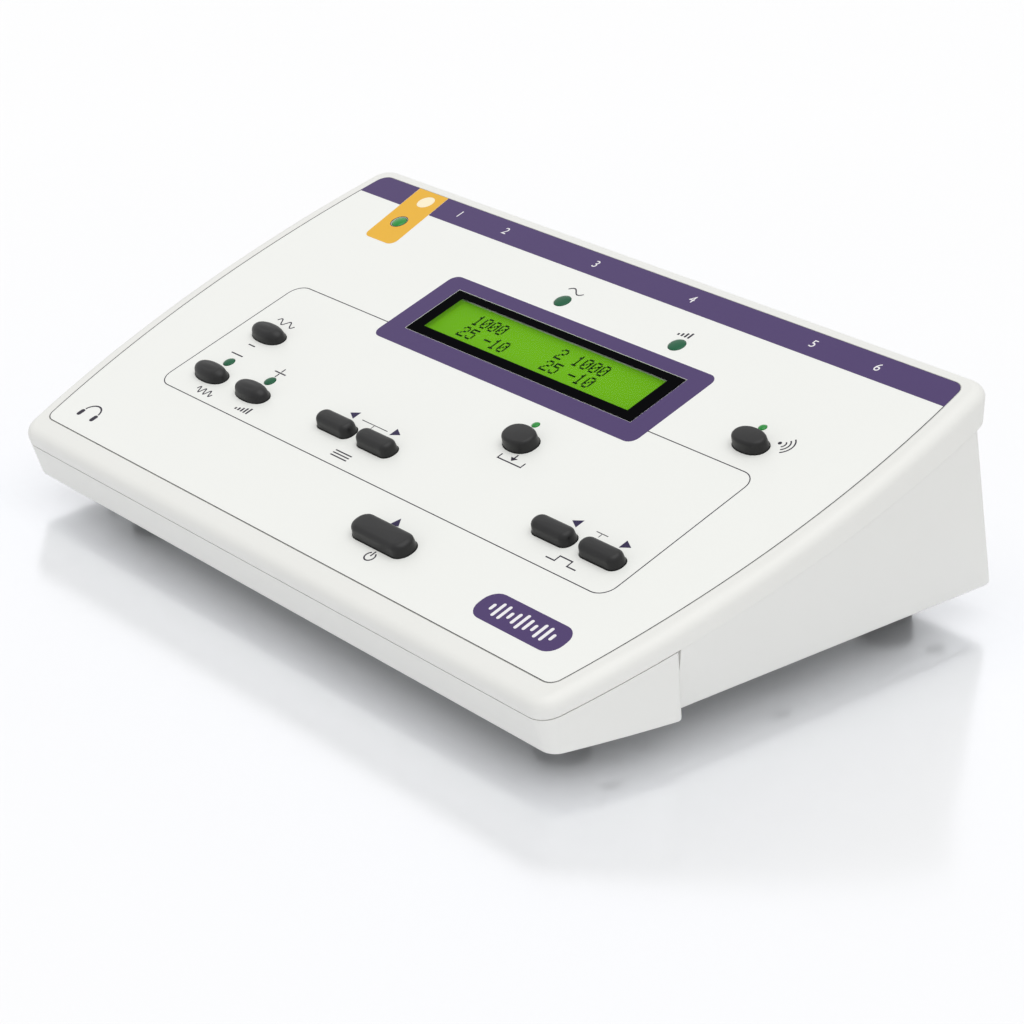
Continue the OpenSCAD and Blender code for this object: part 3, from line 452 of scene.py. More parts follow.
# %% [markdown]
# ## The two shells of the case
#
# The top shell carries the panel, and the low nose in front belongs to the base. Their CAD
# solids already have the right form, but a moulding has no knife edges. A copy of each is
# merged, its flat faces are made whole, and the edges that show are rounded with a Bevel
# modifier, each by its own share of the widest rounding: all of it on the skirt's lower edge,
# nearly as much round the nose's end, and less on the nose's own lower edge.

# %% Case shells
MERGE = 0.02 * MM
FLAT = math.radians(0.6)
WIDEST_ROUND = 1.5 * MM
NOSE_END_LEAN = math.radians(11.5)
NOSE_END_SHARE = 0.9
NOSE_LOW_SHARE = 0.4
NOSE_SIDES = 115 * MM
STEEP = 0.6
LEVEL = 0.99
SAME_WAY = 0.999


def moulded_copy(name, node, round_of, material=CASE_WHITE, slot="case_plastic"):
    """A merged copy of a CAD solid whose edges are rounded, each by its own share."""
    work = bmesh.new()
    work.from_mesh(frame["nodes"][node].data)
    bmesh.ops.remove_doubles(work, verts=work.verts, dist=MERGE)
    bmesh.ops.dissolve_limit(work, angle_limit=FLAT, verts=work.verts, edges=work.edges)
    weight = work.edges.layers.float.new("bevel_weight_edge")
    for edge in work.edges:
        if len(edge.link_faces) == 2 and edge.calc_face_angle(0) > SHARP:
            edge[weight] = round_of(edge)
    piece = settle(name, work, material, "case", slot, node)
    rounding = piece.modifiers.new("rounding", "BEVEL")
    rounding.limit_method = "WEIGHT"
    rounding.width = WIDEST_ROUND
    rounding.segments = 3
    rounding.use_clamp_overlap = False
    rounding.harden_normals = False
    even = piece.modifiers.new("even_shading", "WEIGHTED_NORMAL")
    even.keep_sharp = True
    even.weight = 80
    print(name, "polygons:", len(piece.data.polygons))


def faces_out(edge):
    """Whether an edge bounds a steep outer face, which looks away from the case's middle."""
    middle = (edge.verts[0].co + edge.verts[1].co) / 2
    for face in edge.link_faces:
        away = face.normal.x * middle.x + face.normal.y * middle.y
        if abs(face.normal.z) < STEEP and away > 0:
            return True
    return False


def meets_underside(edge):
    return any(face.normal.z < -LEVEL for face in edge.link_faces)


def skirt_round(edge):
    """Rounds the lower edge of the skirt."""
    return 1 if meets_underside(edge) and faces_out(edge) else 0


def nose_round(edge):
    """A wide rounding on the nose's leaning end and a slighter one on its lower edge."""
    end = Vector((0, math.cos(NOSE_END_LEAN), math.sin(NOSE_END_LEAN)))
    at_side = min(abs(v.co.x) for v in edge.verts) > NOSE_SIDES
    if at_side and any(face.normal.dot(end) > SAME_WAY for face in edge.link_faces):
        return 1 if meets_underside(edge) else NOSE_END_SHARE * faces_out(edge)
    return NOSE_LOW_SHARE if meets_underside(edge) and faces_out(edge) else 0


moulded_copy("case_top", "top_shell", skirt_round)
moulded_copy("case_base", "base_shell", nose_round)

# %% [markdown]
# ## The overlay and its print
#
# The overlay is a sheet of film with its colours printed on. Each printed field is made as
# a flat curve, filled and a few hundredths of a millimetre thick, because a curve can hold
# round corners and holes. It is turned into a mesh before it is laid on the panel. A dark
# line along the overlay's edge is made the same way: it is painted shade, standing for the
# shade in the thin gap between the overlay and the case's rim.

# %% Overlay outline and printing
INK_T = 0.05
LINE = 0.42
ROUND_STEPS = 6
MERGE_PRINT = 0.001
OVERLAY_FRONT_W = 240
OVERLAY_REAR_W = 257
OVERLAY_LEN = 148.5
SIDE_BOW = 7.3
side_run = (OVERLAY_REAR_W - OVERLAY_FRONT_W) / 2
side_chord = math.hypot(OVERLAY_LEN, side_run)
SIDE_R = (side_chord ** 2 / 4 + SIDE_BOW ** 2) / (2 * SIDE_BOW)
SIDE_X = (OVERLAY_FRONT_W + OVERLAY_REAR_W) / 4 + (SIDE_BOW - SIDE_R) * OVERLAY_LEN / side_chord
SIDE_S = OVERLAY_LEN / 2 - (SIDE_BOW - SIDE_R) * side_run / side_chord
frame["nodes"]["panel_overlay"].data.materials.clear()
frame["nodes"]["panel_overlay"].data.materials.append(OVERLAY_WHITE)


def side_x(s, grow=0.0):
    """Half width of the overlay at s, grown by some millimetres."""
    return SIDE_X + math.sqrt((SIDE_R + grow) ** 2 - (s - SIDE_S) ** 2)


def arc(x, s, radius, start, end, steps=8):
    """Points on an arc, from one angle to another in degrees."""
    angles = [math.radians(start + (end - start) * i / steps) for i in range(steps + 1)]
    return [(x + radius * math.cos(a), s + radius * math.sin(a)) for a in angles]


def disc(x, s, radius):
    return arc(x, s, radius, 0, 345, 23)


def box_outline(left, front, right, rear):
    return [(left, front), (right, front), (right, rear), (left, rear)]


def rounded(corners, radius, steps=ROUND_STEPS):
    """An outline through corners, given anticlockwise, each rounded by one radius."""
    points = []
    for i, corner in enumerate(corners):
        here = Vector(corner)
        back = (Vector(corners[i - 1]) - here).normalized()
        on = (Vector(corners[(i + 1) % len(corners)]) - here).normalized()
        half = back.angle(on) / 2
        reach = radius / math.tan(half)
        middle = here + (back + on).normalized() * radius / math.sin(half)
        first = here + back * reach - middle
        turn = math.pi - 2 * half
        for k in range(steps + 1):
            points.append(middle + Matrix.Rotation(turn * k / steps, 2) @ first)
    return [(p.x, p.y) for p in points]


def stroke(points, width=LINE):
    """The outline of a line of some width through points, open at its ends."""
    left, right = [], []
    for i, point in enumerate(points):
        here = Vector(point)
        into = here - Vector(points[i - 1]) if i else Vector(points[1]) - here
        out = Vector(points[i + 1]) - here if i + 1 < len(points) else into
        ahead = (into.normalized() + out.normalized()).normalized()
        square = Vector((-ahead.y, ahead.x)) * width / 2 / max(0.5, ahead.dot(into.normalized()))
        left.append(tuple(here + square))
        right.append(tuple(here - square))
    return right + left[::-1]


def evaluated(carrier):
    """The mesh that an object comes to, as a bmesh; the object itself goes."""
    bpy.context.scene.collection.objects.link(carrier)
    depsgraph = bpy.context.evaluated_depsgraph_get()
    made = bpy.data.meshes.new_from_object(carrier.evaluated_get(depsgraph))
    bpy.data.objects.remove(carrier)
    work = bmesh.new()
    work.from_mesh(made)
    return work


def ink(name, outlines, material, slot="overlay_print", low=0.0, thick=INK_T):
    """Lays print and painted shade as filled outlines; an outline inside another one is a hole."""
    curve = bpy.data.curves.new(name, "CURVE")
    curve.dimensions = "2D"
    curve.fill_mode = "BOTH"
    curve.extrude = thick / 2
    for outline in outlines:
        spline = curve.splines.new("POLY")
        spline.points.add(len(outline) - 1)
        for point, (x, s) in zip(spline.points, outline):
            point.co = (x, s, 0, 1)
        spline.use_cyclic_u = True
    lay(name, curve, material, slot, PANEL @ Matrix.Translation((0, 0, low + thick / 2)))


def lay(name, curve, material, slot, place):
    """Turns a flat curve or text into a mesh, merges it and lays it on the panel."""
    work = evaluated(bpy.data.objects.new(name + "_flat", curve))
    bmesh.ops.remove_doubles(work, verts=work.verts, dist=MERGE_PRINT)
    work.transform(place)
    bmesh.ops.recalc_face_normals(work, faces=work.faces)
    settle(name, work, material, "case", slot)


# %% [markdown]
# ### Strip, tab and display surround
#
# A purple strip along the rear edge numbers the sockets behind it, and an amber tab crosses
# it at the left with the power light. The display has a purple surround. The strip follows
# the overlay's own bowed sides and stops either side of the tab.

# %% Coloured fields
STRIP_FRONT = 138.3
CORNER_R = 4.0
TAB_FRONT = 120.1
TAB_LEAN = -0.151
TAB_LEFT = -105.5
TAB_RIGHT = -90.7
TAB_GAP = 0.15
TAB_R = 2.6
POWER_LIGHT = (-100.0, OVERLAY_LEN - 17.5)
LAMP_RING_OUT, LAMP_RING_IN = 3.05, 2.75
CREAM_DISC = (-100.7, 143.3)
CREAM_R = 3.0
HOLE_R = 3.1
GAP_SHADE_WIDTH = 0.22
GAP_SHADE_T = 0.6 * INK_T
SIDE_STEPS = 24
SURROUND_LOW, SURROUND_HIGH = (-55.8, 83.0), (62.6, 118.2)
SURROUND_R = 3.2
WINDOW_GAP = 0.3
# Where the arcs of the front and rear corners meet the bowed side, in degrees
FRONT_MEETS, REAR_MEETS = -6, 4


def tab_x(front_x, s):
    """Where a slanted side of the tab lies at s."""
    return front_x + TAB_LEAN * (s - TAB_FRONT)


def right_side(low_s, inset):
    """Points up the overlay's bowed right side from low_s and round its rear corner."""
    rear = OVERLAY_LEN - inset
    radius = CORNER_R - inset
    middle_s = rear - radius
    middle_x = side_x(middle_s, -CORNER_R)
    steps = [low_s + (middle_s - low_s) * i / SIDE_STEPS for i in range(SIDE_STEPS)]
    up = [(side_x(s, -inset), s) for s in steps]
    return up + arc(middle_x, middle_s, radius, REAR_MEETS, 90)


def overlay_edge(inset):
    """The overlay's outline, drawn in by some millimetres."""
    radius = CORNER_R - inset
    front = arc(side_x(CORNER_R, -CORNER_R), CORNER_R, radius, -90, FRONT_MEETS)
    right = front + right_side(CORNER_R + 1, inset)
    return right + [(-x, s) for x, s in reversed(right)]


def strip_part(side, tab_side):
    """The strip on one side of the tab: -1 for its left and 1 for its right."""
    outer = [(side * x, s) for x, s in right_side(STRIP_FRONT, 0)]
    return outer + [(tab_x(tab_side, s), s) for s in (OVERLAY_LEN, STRIP_FRONT)]


strip = [strip_part(-1, TAB_LEFT - TAB_GAP), strip_part(1, TAB_RIGHT + TAB_GAP)]
ink("print_strip", strip, PURPLE_INK)
# Painted shade: a dark line along the overlay's edge, where the gap to the rim lies in shade.
ink("gap_shade_line", [overlay_edge(0), overlay_edge(GAP_SHADE_WIDTH)], DARK_INK_AND_GAP_SHADE, thick=GAP_SHADE_T)

tab_rear = [(tab_x(front_x, OVERLAY_LEN), OVERLAY_LEN) for front_x in (TAB_RIGHT, TAB_LEFT)]
tab_corners = [(TAB_LEFT, TAB_FRONT), (TAB_RIGHT, TAB_FRONT)] + tab_rear
tab_outline = rounded(tab_corners, TAB_R)[:2 * (ROUND_STEPS + 1)] + tab_rear
tab_holes = [disc(*POWER_LIGHT, HOLE_R), disc(*CREAM_DISC, HOLE_R)]
ink("print_tab", [tab_outline] + tab_holes, AMBER_INK)
ink("print_tab_disc", [disc(*CREAM_DISC, CREAM_R)], CREAM_INK)
ink("print_lamp_ring", [disc(*POWER_LIGHT, LAMP_RING_OUT), disc(*POWER_LIGHT, LAMP_RING_IN)],
    DARK_INK_AND_GAP_SHADE)

window_low, window_high = panel_box("display_window")
surround_outline = rounded(box_outline(*SURROUND_LOW, *SURROUND_HIGH), SURROUND_R)
window_outline = box_outline(window_low.x - WINDOW_GAP, window_low.y - WINDOW_GAP,
                             window_high.x + WINDOW_GAP, window_high.y + WINDOW_GAP)
ink("print_surround", [surround_outline, window_outline], PURPLE_INK)

# %% [markdown]
# ### Lines and marks
#
# A hairline frame groups the controls; it runs from one side of the display's surround
# round to the other. Beside the buttons stand small arrows, a plus and a minus. Plain
# pictograms say what a button is for: a wave, rising bars, a tray, a pulse. The sockets
# behind the strip are numbered.

# %% Hairlines, arrows and pictograms
HAIR = 0.3
FINE = 0.25
SIGN = 0.45
WAVE_STEPS = 12
ARROW_R = 2.04
ARROW_POINTS = (0, 125, 235)
GROUP_LEFT, GROUP_RIGHT = -101.6, 106.0
GROUP_FRONT, GROUP_REAR = 31.5, 89.7
GROUP_R = 5.0


def group_line():
    """The hairline frame, from the surround's left side round to its right side."""
    r = GROUP_R
    points = [(SURROUND_LOW[0], GROUP_REAR)]
    points += arc(GROUP_LEFT + r, GROUP_REAR - r, r, 90, 180)
    points += arc(GROUP_LEFT + r, GROUP_FRONT + r, r, 180, 270)
    points += arc(GROUP_RIGHT - r, GROUP_FRONT + r, r, 270, 360)
    points += arc(GROUP_RIGHT - r, GROUP_REAR - r, r, 0, 90)
    return stroke(points + [(SURROUND_HIGH[0], GROUP_REAR)], HAIR)


def wave(x, s, width, height, cycles):
    """A sine wave drawn as a line."""
    steps = WAVE_STEPS * cycles
    turn = 2 * math.pi * cycles / steps
    return stroke([(x + width * (i / steps - 0.5), s + height / 2 * math.sin(turn * i))
                   for i in range(steps + 1)])


def block(x, s, width, height):
    return box_outline(x - width / 2, s - height / 2, x + width / 2, s + height / 2)


def bars(x, s, count, pitch, low, high):
    """Rising bars on one line."""
    heights = [low + (high - low) * i / (count - 1) for i in range(count)]
    return [block(x + (i - (count - 1) / 2) * pitch, s - high / 2 + h / 2, pitch * 0.5, h)
            for i, h in enumerate(heights)]


def triangle(x, s, turn):
    """An arrow head whose tip points along turn, in degrees."""
    angles = [math.radians(turn + point) for point in ARROW_POINTS]
    return [(x + ARROW_R * math.cos(a), s + ARROW_R * math.sin(a)) for a in angles]


# Waves by tone and frequency, rising bars by level
marks = [group_line(), wave(-87.4, 72.8, 9, 2.4, 2), wave(-81.4, 35.3, 8, 2.4, 3)]
marks += bars(-61.4, 35.8, 5, 1.4, 0.8, 2.8)
# Three lines by the menu buttons, a tray with an arrow by store
marks += [block(-12.8, 36.0 + up, 7.5, LINE) for up in (-1.1, 0, 1.1)]
marks += [stroke([(31.6, 61.2), (31.6, 59.2), (41.6, 59.2), (41.6, 61.2)])]
marks += [block(36.6, 62.1, 0.5, 1.6), [(35.2, 61.4), (36.6, 60.0), (38.0, 61.4)]]
# A pulse by the response buttons, an open ring with a bar by power
pulse = [(78.8, 35.4), (82.3, 35.4), (82.3, 37.6), (87.3, 37.6), (87.3, 35.4), (90.8, 35.4)]
marks += [stroke(pulse)]
marks += [stroke(arc(33.6, 9.4, 1.7, 120, 420, 20), SIGN), block(33.6, 10.6, SIGN, 2.2)]
# A wave and bars by the lights above the display, three arcs by talk
marks += [wave(-11.3, 129.7, 7, 2.2, 1)] + bars(37.4, 129.4, 4, 1.4, 0.8, 2.6)
marks += [stroke(arc(101.2, 104.0, 1.4 + 1.3 * i, -55, 55)) for i in range(3)]
marks += [disc(100.6, 104.0, 0.6)]
# Two minus signs and a plus by the oval buttons
marks += [block(-88.0, 59.2, 3.2, SIGN), block(-88.5, 53.6, 5.8, SIGN)]
marks += [block(-66.1, 54.0, 5.4, SIGN)]
marks += [block(-66.1, s, SIGN, 1.7) for s in (55.3, 52.7)]
# Brackets over the pairs of arrow buttons
marks += [block(-15.1, 51.0, 12.0, FINE), block(-15.1, 50.1, FINE, 1.3)]
marks += [block(85.7, 50.2, 4.6, FINE), block(85.7, 49.3, FINE, 1.3)]
ink("print_marks", marks, DARK_INK_AND_GAP_SHADE)
arrows = [triangle(-25.6, 51.6, 180), triangle(-6.0, 51.8, 0), triangle(75.6, 50.1, 180),
          triangle(95.2, 50.1, 0), triangle(28.6, 23.4, 100)]
ink("print_arrows", arrows, DARK_PURPLE_INK)


NUMBER_S, NUMBER_SIZE = 143.4, 4.6


def figure(number, x):
    """Prints a plain number on the strip, centred at x."""
    name = "print_socket_%d" % number
    text = bpy.data.curves.new(name, "FONT")
    text.body = str(number)
    text.size = NUMBER_SIZE
    text.align_x = "CENTER"
    text.align_y = "CENTER"
    text.extrude = INK_T / 2
    lay(name, text, PALE_INK, "overlay_print",
        PANEL @ Matrix.Translation((x, NUMBER_S, 1.5 * INK_T)))


SOCKET_NODES = ["power_inlet", "handset_socket", "high_frequency_socket", "microphone_socket",
                "left_headset_socket", "right_headset_socket"]
for number, node in enumerate(SOCKET_NODES, 1):
    low, high = panel_box(node)
    figure(number, (low.x + high.x) / 2)

# %% [markdown]
# ### Headset mark and plate
#
# In the front left corner a small headset is drawn: a band over two cups. At the right lies
# a purple plate with a row of pale bars.

# %% Headset mark and plate
HEAD_X, HEAD_S, HEAD_R = -107.6, 8.8, 3.6
BAND_W = 0.55
CUP_DROP, CUP_W, CUP_H, CUP_R = 1.2, 1.7, 3.0, 0.7
headset = [stroke(arc(HEAD_X, HEAD_S, HEAD_R, 10, 170, 14), BAND_W)]
for side in (-1, 1):
    cup = block(HEAD_X + side * HEAD_R, HEAD_S - CUP_DROP, CUP_W, CUP_H)
    headset.append(rounded(cup, CUP_R, 4))
ink("print_headset", headset, DARK_INK_AND_GAP_SHADE)

PLATE_X, PLATE_S, PLATE_W, PLATE_H, PLATE_R = 94.1, 13.1, 34.0, 10.6, 4.6
BAR_PITCH, BAR_W, BAR_R, BAR_LOW, BAR_RISE, BAR_TURN = 2.4, 1.1, 0.5, 1.6, 4.4, 0.9
ink("print_plate", [rounded(block(PLATE_X, PLATE_S, PLATE_W, PLATE_H), PLATE_R)], PURPLE_INK)
plate_bars = []
for i in range(-5, 6):
    length = BAR_LOW + BAR_RISE * abs(math.cos(BAR_TURN * i))
    plate_bars.append(rounded(block(PLATE_X + BAR_PITCH * i, PLATE_S, BAR_W, length), BAR_R, 3))
ink("print_plate_bars", plate_bars, PALE_INK, low=INK_T)

# %% [markdown]
# ## The display
#
# The clear window has a black printed border, and the green glass lies below it. The
# characters are dots in cells of five by seven. Each lit dot is a point, and a Geometry Nodes
# tree puts a small block on every point, which is how anything that repeats is best made: the
# points say where, and the tree says what.

# %% Display border, glass and dots
VIEW_LOW, VIEW_HIGH = (-42.9, 93.9), (49.6, 110.0)
BORDER_LOW, BORDER_T = 0.02, 0.03
border_outer = box_outline(window_low.x, window_low.y, window_high.x, window_high.y)
border_inner = box_outline(*VIEW_LOW, *VIEW_HIGH)
ink("window_border", [border_outer, border_inner], BORDER_INK, "black_plastic",
    low=BORDER_LOW, thick=BORDER_T)
glass_top = panel_box("display_glass")[1].z
DOT_FONT = {
    "0": "01110 10001 10011 10101 11001 10001 01110",
    "1": "00100 01100 00100 00100 00100 00100 01110",
    "2": "01110 10001 00001 00110 01000 10000 11111",
    "5": "11111 10000 11110 00001 00001 10001 01110",
    "-": "00000 00000 00000 11111 00000 00000 00000",
    " ": "00000 00000 00000 00000 00000 00000 00000",
}
DOT_X, DOT_S = 0.62, 0.72
CELL_X = 3.7
DOT_SIZE = (0.6, 0.7, 0.04)
ROWS = [(-31.8, 107.7, "1000"), (-31.8, 101.5, "25 -10"), (6.8, 107.7, "2 1000"),
        (6.8, 101.5, "25 -10")]


def lit_dots():
    """Middle of every lit dot on the glass, in the panel's axes."""
    points = []
    for left, top, words in ROWS:
        for place, letter in enumerate(words):
            for row, dots in enumerate(DOT_FONT[letter].split()):
                start = left + place * CELL_X
                points += [(start + column * DOT_X, top - row * DOT_S, glass_top)
                           for column, lit in enumerate(dots) if lit == "1"]
    return points


def point_tree(name, inputs):
    """A tree that works on points; returns it and its inputs, the named ones among them."""
    group = bpy.data.node_groups.new(name, "GeometryNodeTree")
    group.interface.new_socket("Geometry", in_out="INPUT", socket_type="NodeSocketGeometry")
    for label, kind in inputs.items():
        group.interface.new_socket(label, in_out="INPUT", socket_type="NodeSocket" + kind)
    group.interface.new_socket("Geometry", in_out="OUTPUT", socket_type="NodeSocketGeometry")
    tree = Tree(group)
    given = group.nodes.new("NodeGroupInput").outputs
    return tree, {socket.name: Socket(tree, socket) for socket in given}


def on_points(tree, points, instance, material):
    """Puts an instance on every point, makes it real and paints it; returns the whole tree."""
    placed = tree.node("GeometryNodeInstanceOnPoints",
                       sockets={"Points": points, "Instance": instance})
    real = tree.node("GeometryNodeRealizeInstances", sockets={"Geometry": placed})
    painted = tree.node("GeometryNodeSetMaterial",
                        sockets={"Geometry": real, "Material": material})
    tree.feed(tree.made.nodes.new("NodeGroupOutput").inputs[0], painted)
    return tree.made


def blocks_tree(material):
    """A tree that puts a block of a given size on every point of a mesh."""
    tree, given = point_tree("blocks_on_points", {"Block size": "Vector"})
    cube = tree.node("GeometryNodeMeshCube", sockets={"Size": given["Block size"]})
    return on_points(tree, given["Geometry"], cube, material)


def grown(name, points, group, inputs, place, slot, material):
    """Runs a Geometry Nodes tree on points and keeps the result as a plain piece."""
    seed = bpy.data.meshes.new(name + "_points")
    seed.from_pydata(points, [], [])
    carrier = bpy.data.objects.new(name + "_carrier", seed)
    modifier = carrier.modifiers.new("tree", "NODES")
    modifier.node_group = group
    for item in group.interface.items_tree:
        if item.in_out == "INPUT" and item.name in inputs:
            modifier[item.identifier] = inputs[item.name]
    work = evaluated(carrier)
    work.transform(place)
    print(name, "faces:", len(work.faces))
    settle(name, work, material, "case", slot)


grown("display_dots", lit_dots(), blocks_tree(DISPLAY_INK), {"Block size": DOT_SIZE}, PANEL,
      "display_green", DISPLAY_INK)

# %% [markdown]
# ## The rubber buttons
#
# Each button is one moulding of black silicone: a crowned top, a wall that leans in a
# little, a thin lip where it leaves the overlay, and below the panel a flange and a stem.
# A cap is a loft through rings. What differs between the ovals, roofs, discs and the bar is
# only how much the rings draw in along and across the button on the way to the top.

# %% Buttons
LIP = 0.08
FLANGE_GROW = 1.35
FLANGE_TOP, FLANGE_LOW = -3.3, -4.3
STEM_R, STEM_LOW = 2.4, -6.3
CORNER_STEPS = 14
OVAL_POWER = 0.9
BAR_END = 0.92
WALL_LEAN = 0.12
SHOULDER_STEPS = 8
TOP_SHARES = (0.75, 0.5, 0.25, 0.06)
# Share of the lip by which the wall stands out, and the height there
LIP_PROFILE = ((0, FLANGE_TOP), (0, -0.2), (1, -0.1), (1, 0.3), (0.5, 0.48), (0, 0.85))
HIDDEN = -0.5
OVAL, ROOF, DISC, BAR = "oval", "roof", "disc", "bar"
FORMS = {
    "tone": OVAL, "frequency": OVAL, "level": OVAL, "menu_left": ROOF, "menu_right": ROOF,
    "store": DISC, "talk": DISC, "power": BAR, "response_left": ROOF, "response_right": ROOF,
}
# Share of the half width and of the half length that the top draws in, share of the height
# where it starts, and how far the middle of the top is crowned
TOPS = {
    OVAL: (0.62, 0.42, 0.3, 0.25), ROOF: (0.62, 0.2, 0.5, 0.1),
    DISC: (0.22, 0.2, 0.62, 0.18), BAR: (0.42, 0.16, 0.58, 0.12),
}


def oval_ring(half_l, half_w, n):
    count = 4 * (CORNER_STEPS + 1)
    points = []
    for i in range(count):
        angle = 2 * math.pi * i / count
        c, t = math.cos(angle), math.sin(angle)
        points.append((half_l * math.copysign(abs(c) ** OVAL_POWER, c),
                       half_w * math.copysign(abs(t) ** OVAL_POWER, t), n))
    return points


def bar_ring(half_l, half_w, n):
    """A ring with straight sides and nearly half round ends."""
    r = min(half_w, half_l) * BAR_END
    points = []
    for way, (x, s) in enumerate(((1, 1), (-1, 1), (-1, -1), (1, -1))):
        for step in range(CORNER_STEPS + 1):
            angle = math.radians(90 * way + 90 * step / CORNER_STEPS)
            points.append((x * (half_l - r) + r * math.cos(angle),
                           s * (half_w - r) + r * math.sin(angle), n))
    return points


def cap_rings(half_l, half_w, height, form):
    """Rings from the stem's end up to the top of a button."""
    ring = bar_ring if form in (ROOF, BAR) else oval_ring
    across, along, start, crown = TOPS[form]
    rings = [
        oval_ring(STEM_R, STEM_R, STEM_LOW), oval_ring(STEM_R, STEM_R, FLANGE_LOW),
        ring(half_l + FLANGE_GROW, half_w + FLANGE_GROW, FLANGE_LOW),
        ring(half_l + FLANGE_GROW, half_w + FLANGE_GROW, FLANGE_TOP),
    ]
    rings += [ring(half_l + LIP * out, half_w + LIP * out, n) for out, n in LIP_PROFILE]
    wall_top = start * height
    shoulder = height - crown
    wall_l, wall_w = half_l - WALL_LEAN, half_w - WALL_LEAN
    for step in range(SHOULDER_STEPS + 1):
        turn = math.radians(90 * step / SHOULDER_STEPS)
        inward = 1 - math.cos(turn)
        rings.append(ring(wall_l - half_l * along * inward, wall_w - half_w * across * inward,
                          wall_top + (shoulder - wall_top) * math.sin(turn)))
    top_l, top_w = wall_l - half_l * along, wall_w - half_w * across
    for share in TOP_SHARES:
        rings.append(ring(top_l * share, top_w * share, shoulder + crown * (1 - share ** 2)))
    return rings


for key, form in FORMS.items():
    pin_low, pin_high = panel_box(key + "_plunger")
    cap = [TO_PANEL @ v.co for v in frame["nodes"][key + "_button"].data.vertices]
    shown = [p for p in cap if p.z > HIDDEN]
    middle = (pin_low + pin_high) / 2
    half_l = max(p.x for p in shown) - middle.x
    half_w = max(p.y for p in shown) - middle.y
    work = bmesh.new()
    place = PANEL @ Matrix.Translation((middle.x, middle.y, 0))
    loft(work, cap_rings(half_l, half_w, max(p.z for p in shown), form), place)
    settle(key + "_cap", work, RUBBER, key + "_key", "black_rubber", key + "_button")
    print(key, form, [round(2 * v, 1) for v in (half_l, half_w)])

# %% [markdown]
# ## The status lights
#
# A light pipe is a green rod with a low dome that stands just proud of the overlay, over a
# light chip on the button board. The two small ones, by the store and talk buttons, are lit.
# The power light in the tab is an ordinary round lamp with a low dome.

# %% Status lights
PIPE_FOOT, PIPE_TOP, PIPE_DOME = -12.1, 0.45, 0.45
PIPE_FOOT_GROW, PIPE_FOOT_H = 0.5, 2.0
SMALL_LIGHT = 1.5
LAMP_R, LAMP_LOW, LAMP_TOP, LAMP_DOME = 2.5, -6.0, 0.4, 0.8
DOME_STEPS = 6
DOME_TIP = 0.05
MERGE_PARTS = 0.001 * MM


def rod_rings(radius, low, top, dome, foot=0.0, foot_h=0.0):
    """Rings of a rod on a foot, with a low dome at its top."""
    rings = []
    if foot:
        rings += [circle(radius + foot, low), circle(radius + foot, low + foot_h)]
    rings += [circle(radius, low + foot_h), circle(radius, top - dome)]
    for step in range(1, DOME_STEPS + 1):
        turn = math.radians(90 * step / DOME_STEPS)
        rings.append(circle(radius * max(math.cos(turn), DOME_TIP),
                            top - dome + dome * math.sin(turn)))
    return rings


def circle(radius, n):
    return [(radius * math.cos(math.radians(a)), radius * math.sin(math.radians(a)), n)
            for a in range(0, 360, 10)]


def loose_parts(node, above=-math.inf, axes=TO_PANEL):
    """Box of each separate part of a CAD node in some axes, from what lies above a height."""
    work = bmesh.new()
    work.from_mesh(frame["nodes"][node].data)
    bmesh.ops.remove_doubles(work, verts=work.verts, dist=MERGE_PARTS)
    left = set(work.verts)
    found = []
    while left:
        part, edge = set(), [left.pop()]
        while edge:
            vertex = edge.pop()
            part.add(vertex)
            near = {e.other_vert(vertex) for e in vertex.link_edges} & left
            left -= near
            edge += near
        points = [p for p in (axes @ v.co for v in part) if p.z > above]
        found.append((Vector(map(min, zip(*points))), Vector(map(max, zip(*points)))))
    work.free()
    return sorted(found, key=lambda box: tuple(box[0]))


lights = [((low.x + high.x) / 2, (low.y + high.y) / 2, (high.x - low.x) / 2)
          for low, high in loose_parts("light_pipes", HIDDEN)]
print("lights:", [tuple(round(v, 1) for v in light) for light in lights])
for name, lit, material in (("dark_light_pipes", False, LENS_DARK),
                            ("lit_light_pipes", True, LENS_LIT)):
    work = bmesh.new()
    for x, s, radius in lights:
        if lit == (radius < SMALL_LIGHT):
            pipe = rod_rings(radius, PIPE_FOOT, PIPE_TOP, PIPE_DOME, PIPE_FOOT_GROW, PIPE_FOOT_H)
            loft(work, pipe, PANEL @ Matrix.Translation((x, s, 0)))
    settle(name, work, material, "case", "lens_green", "light_pipes")

work = bmesh.new()
loft(work, rod_rings(LAMP_R, LAMP_LOW, LAMP_TOP, LAMP_DOME),
     PANEL @ Matrix.Translation((*POWER_LIGHT, 0)))
settle("power_light", work, LENS_LIT, "case", "lens_green", "power_lamp")

# %% [markdown]
# ## Ring nuts, painted shade of screw recesses, and feet
#
# The sockets are held by ring nuts whose rims are knurled, and the screws that close the case
# have a cross recess. Both repeat, so Geometry Nodes makes them: one tree sets a ring of
# teeth on every point, and the tree of blocks from the display makes the two arms of each
# cross. The cross is not cut in: it is painted shade, thin black blocks laid where the recess
# would be dark. The rubber feet get rounded edges in the same way as the case.

# %% Knurls, painted recess shade and feet
TEETH_PER_MM = 7
TOOTH_INSET, TOOTH_OUT, TOOTH_WIDE, TOOTH_SHARE = 0.1, 0.5, 0.45, 0.8
RECESS_LONG, RECESS_WIDE, RECESS_DEEP = 3.0, 0.6, 0.1
SOLE_SHARE = 0.8


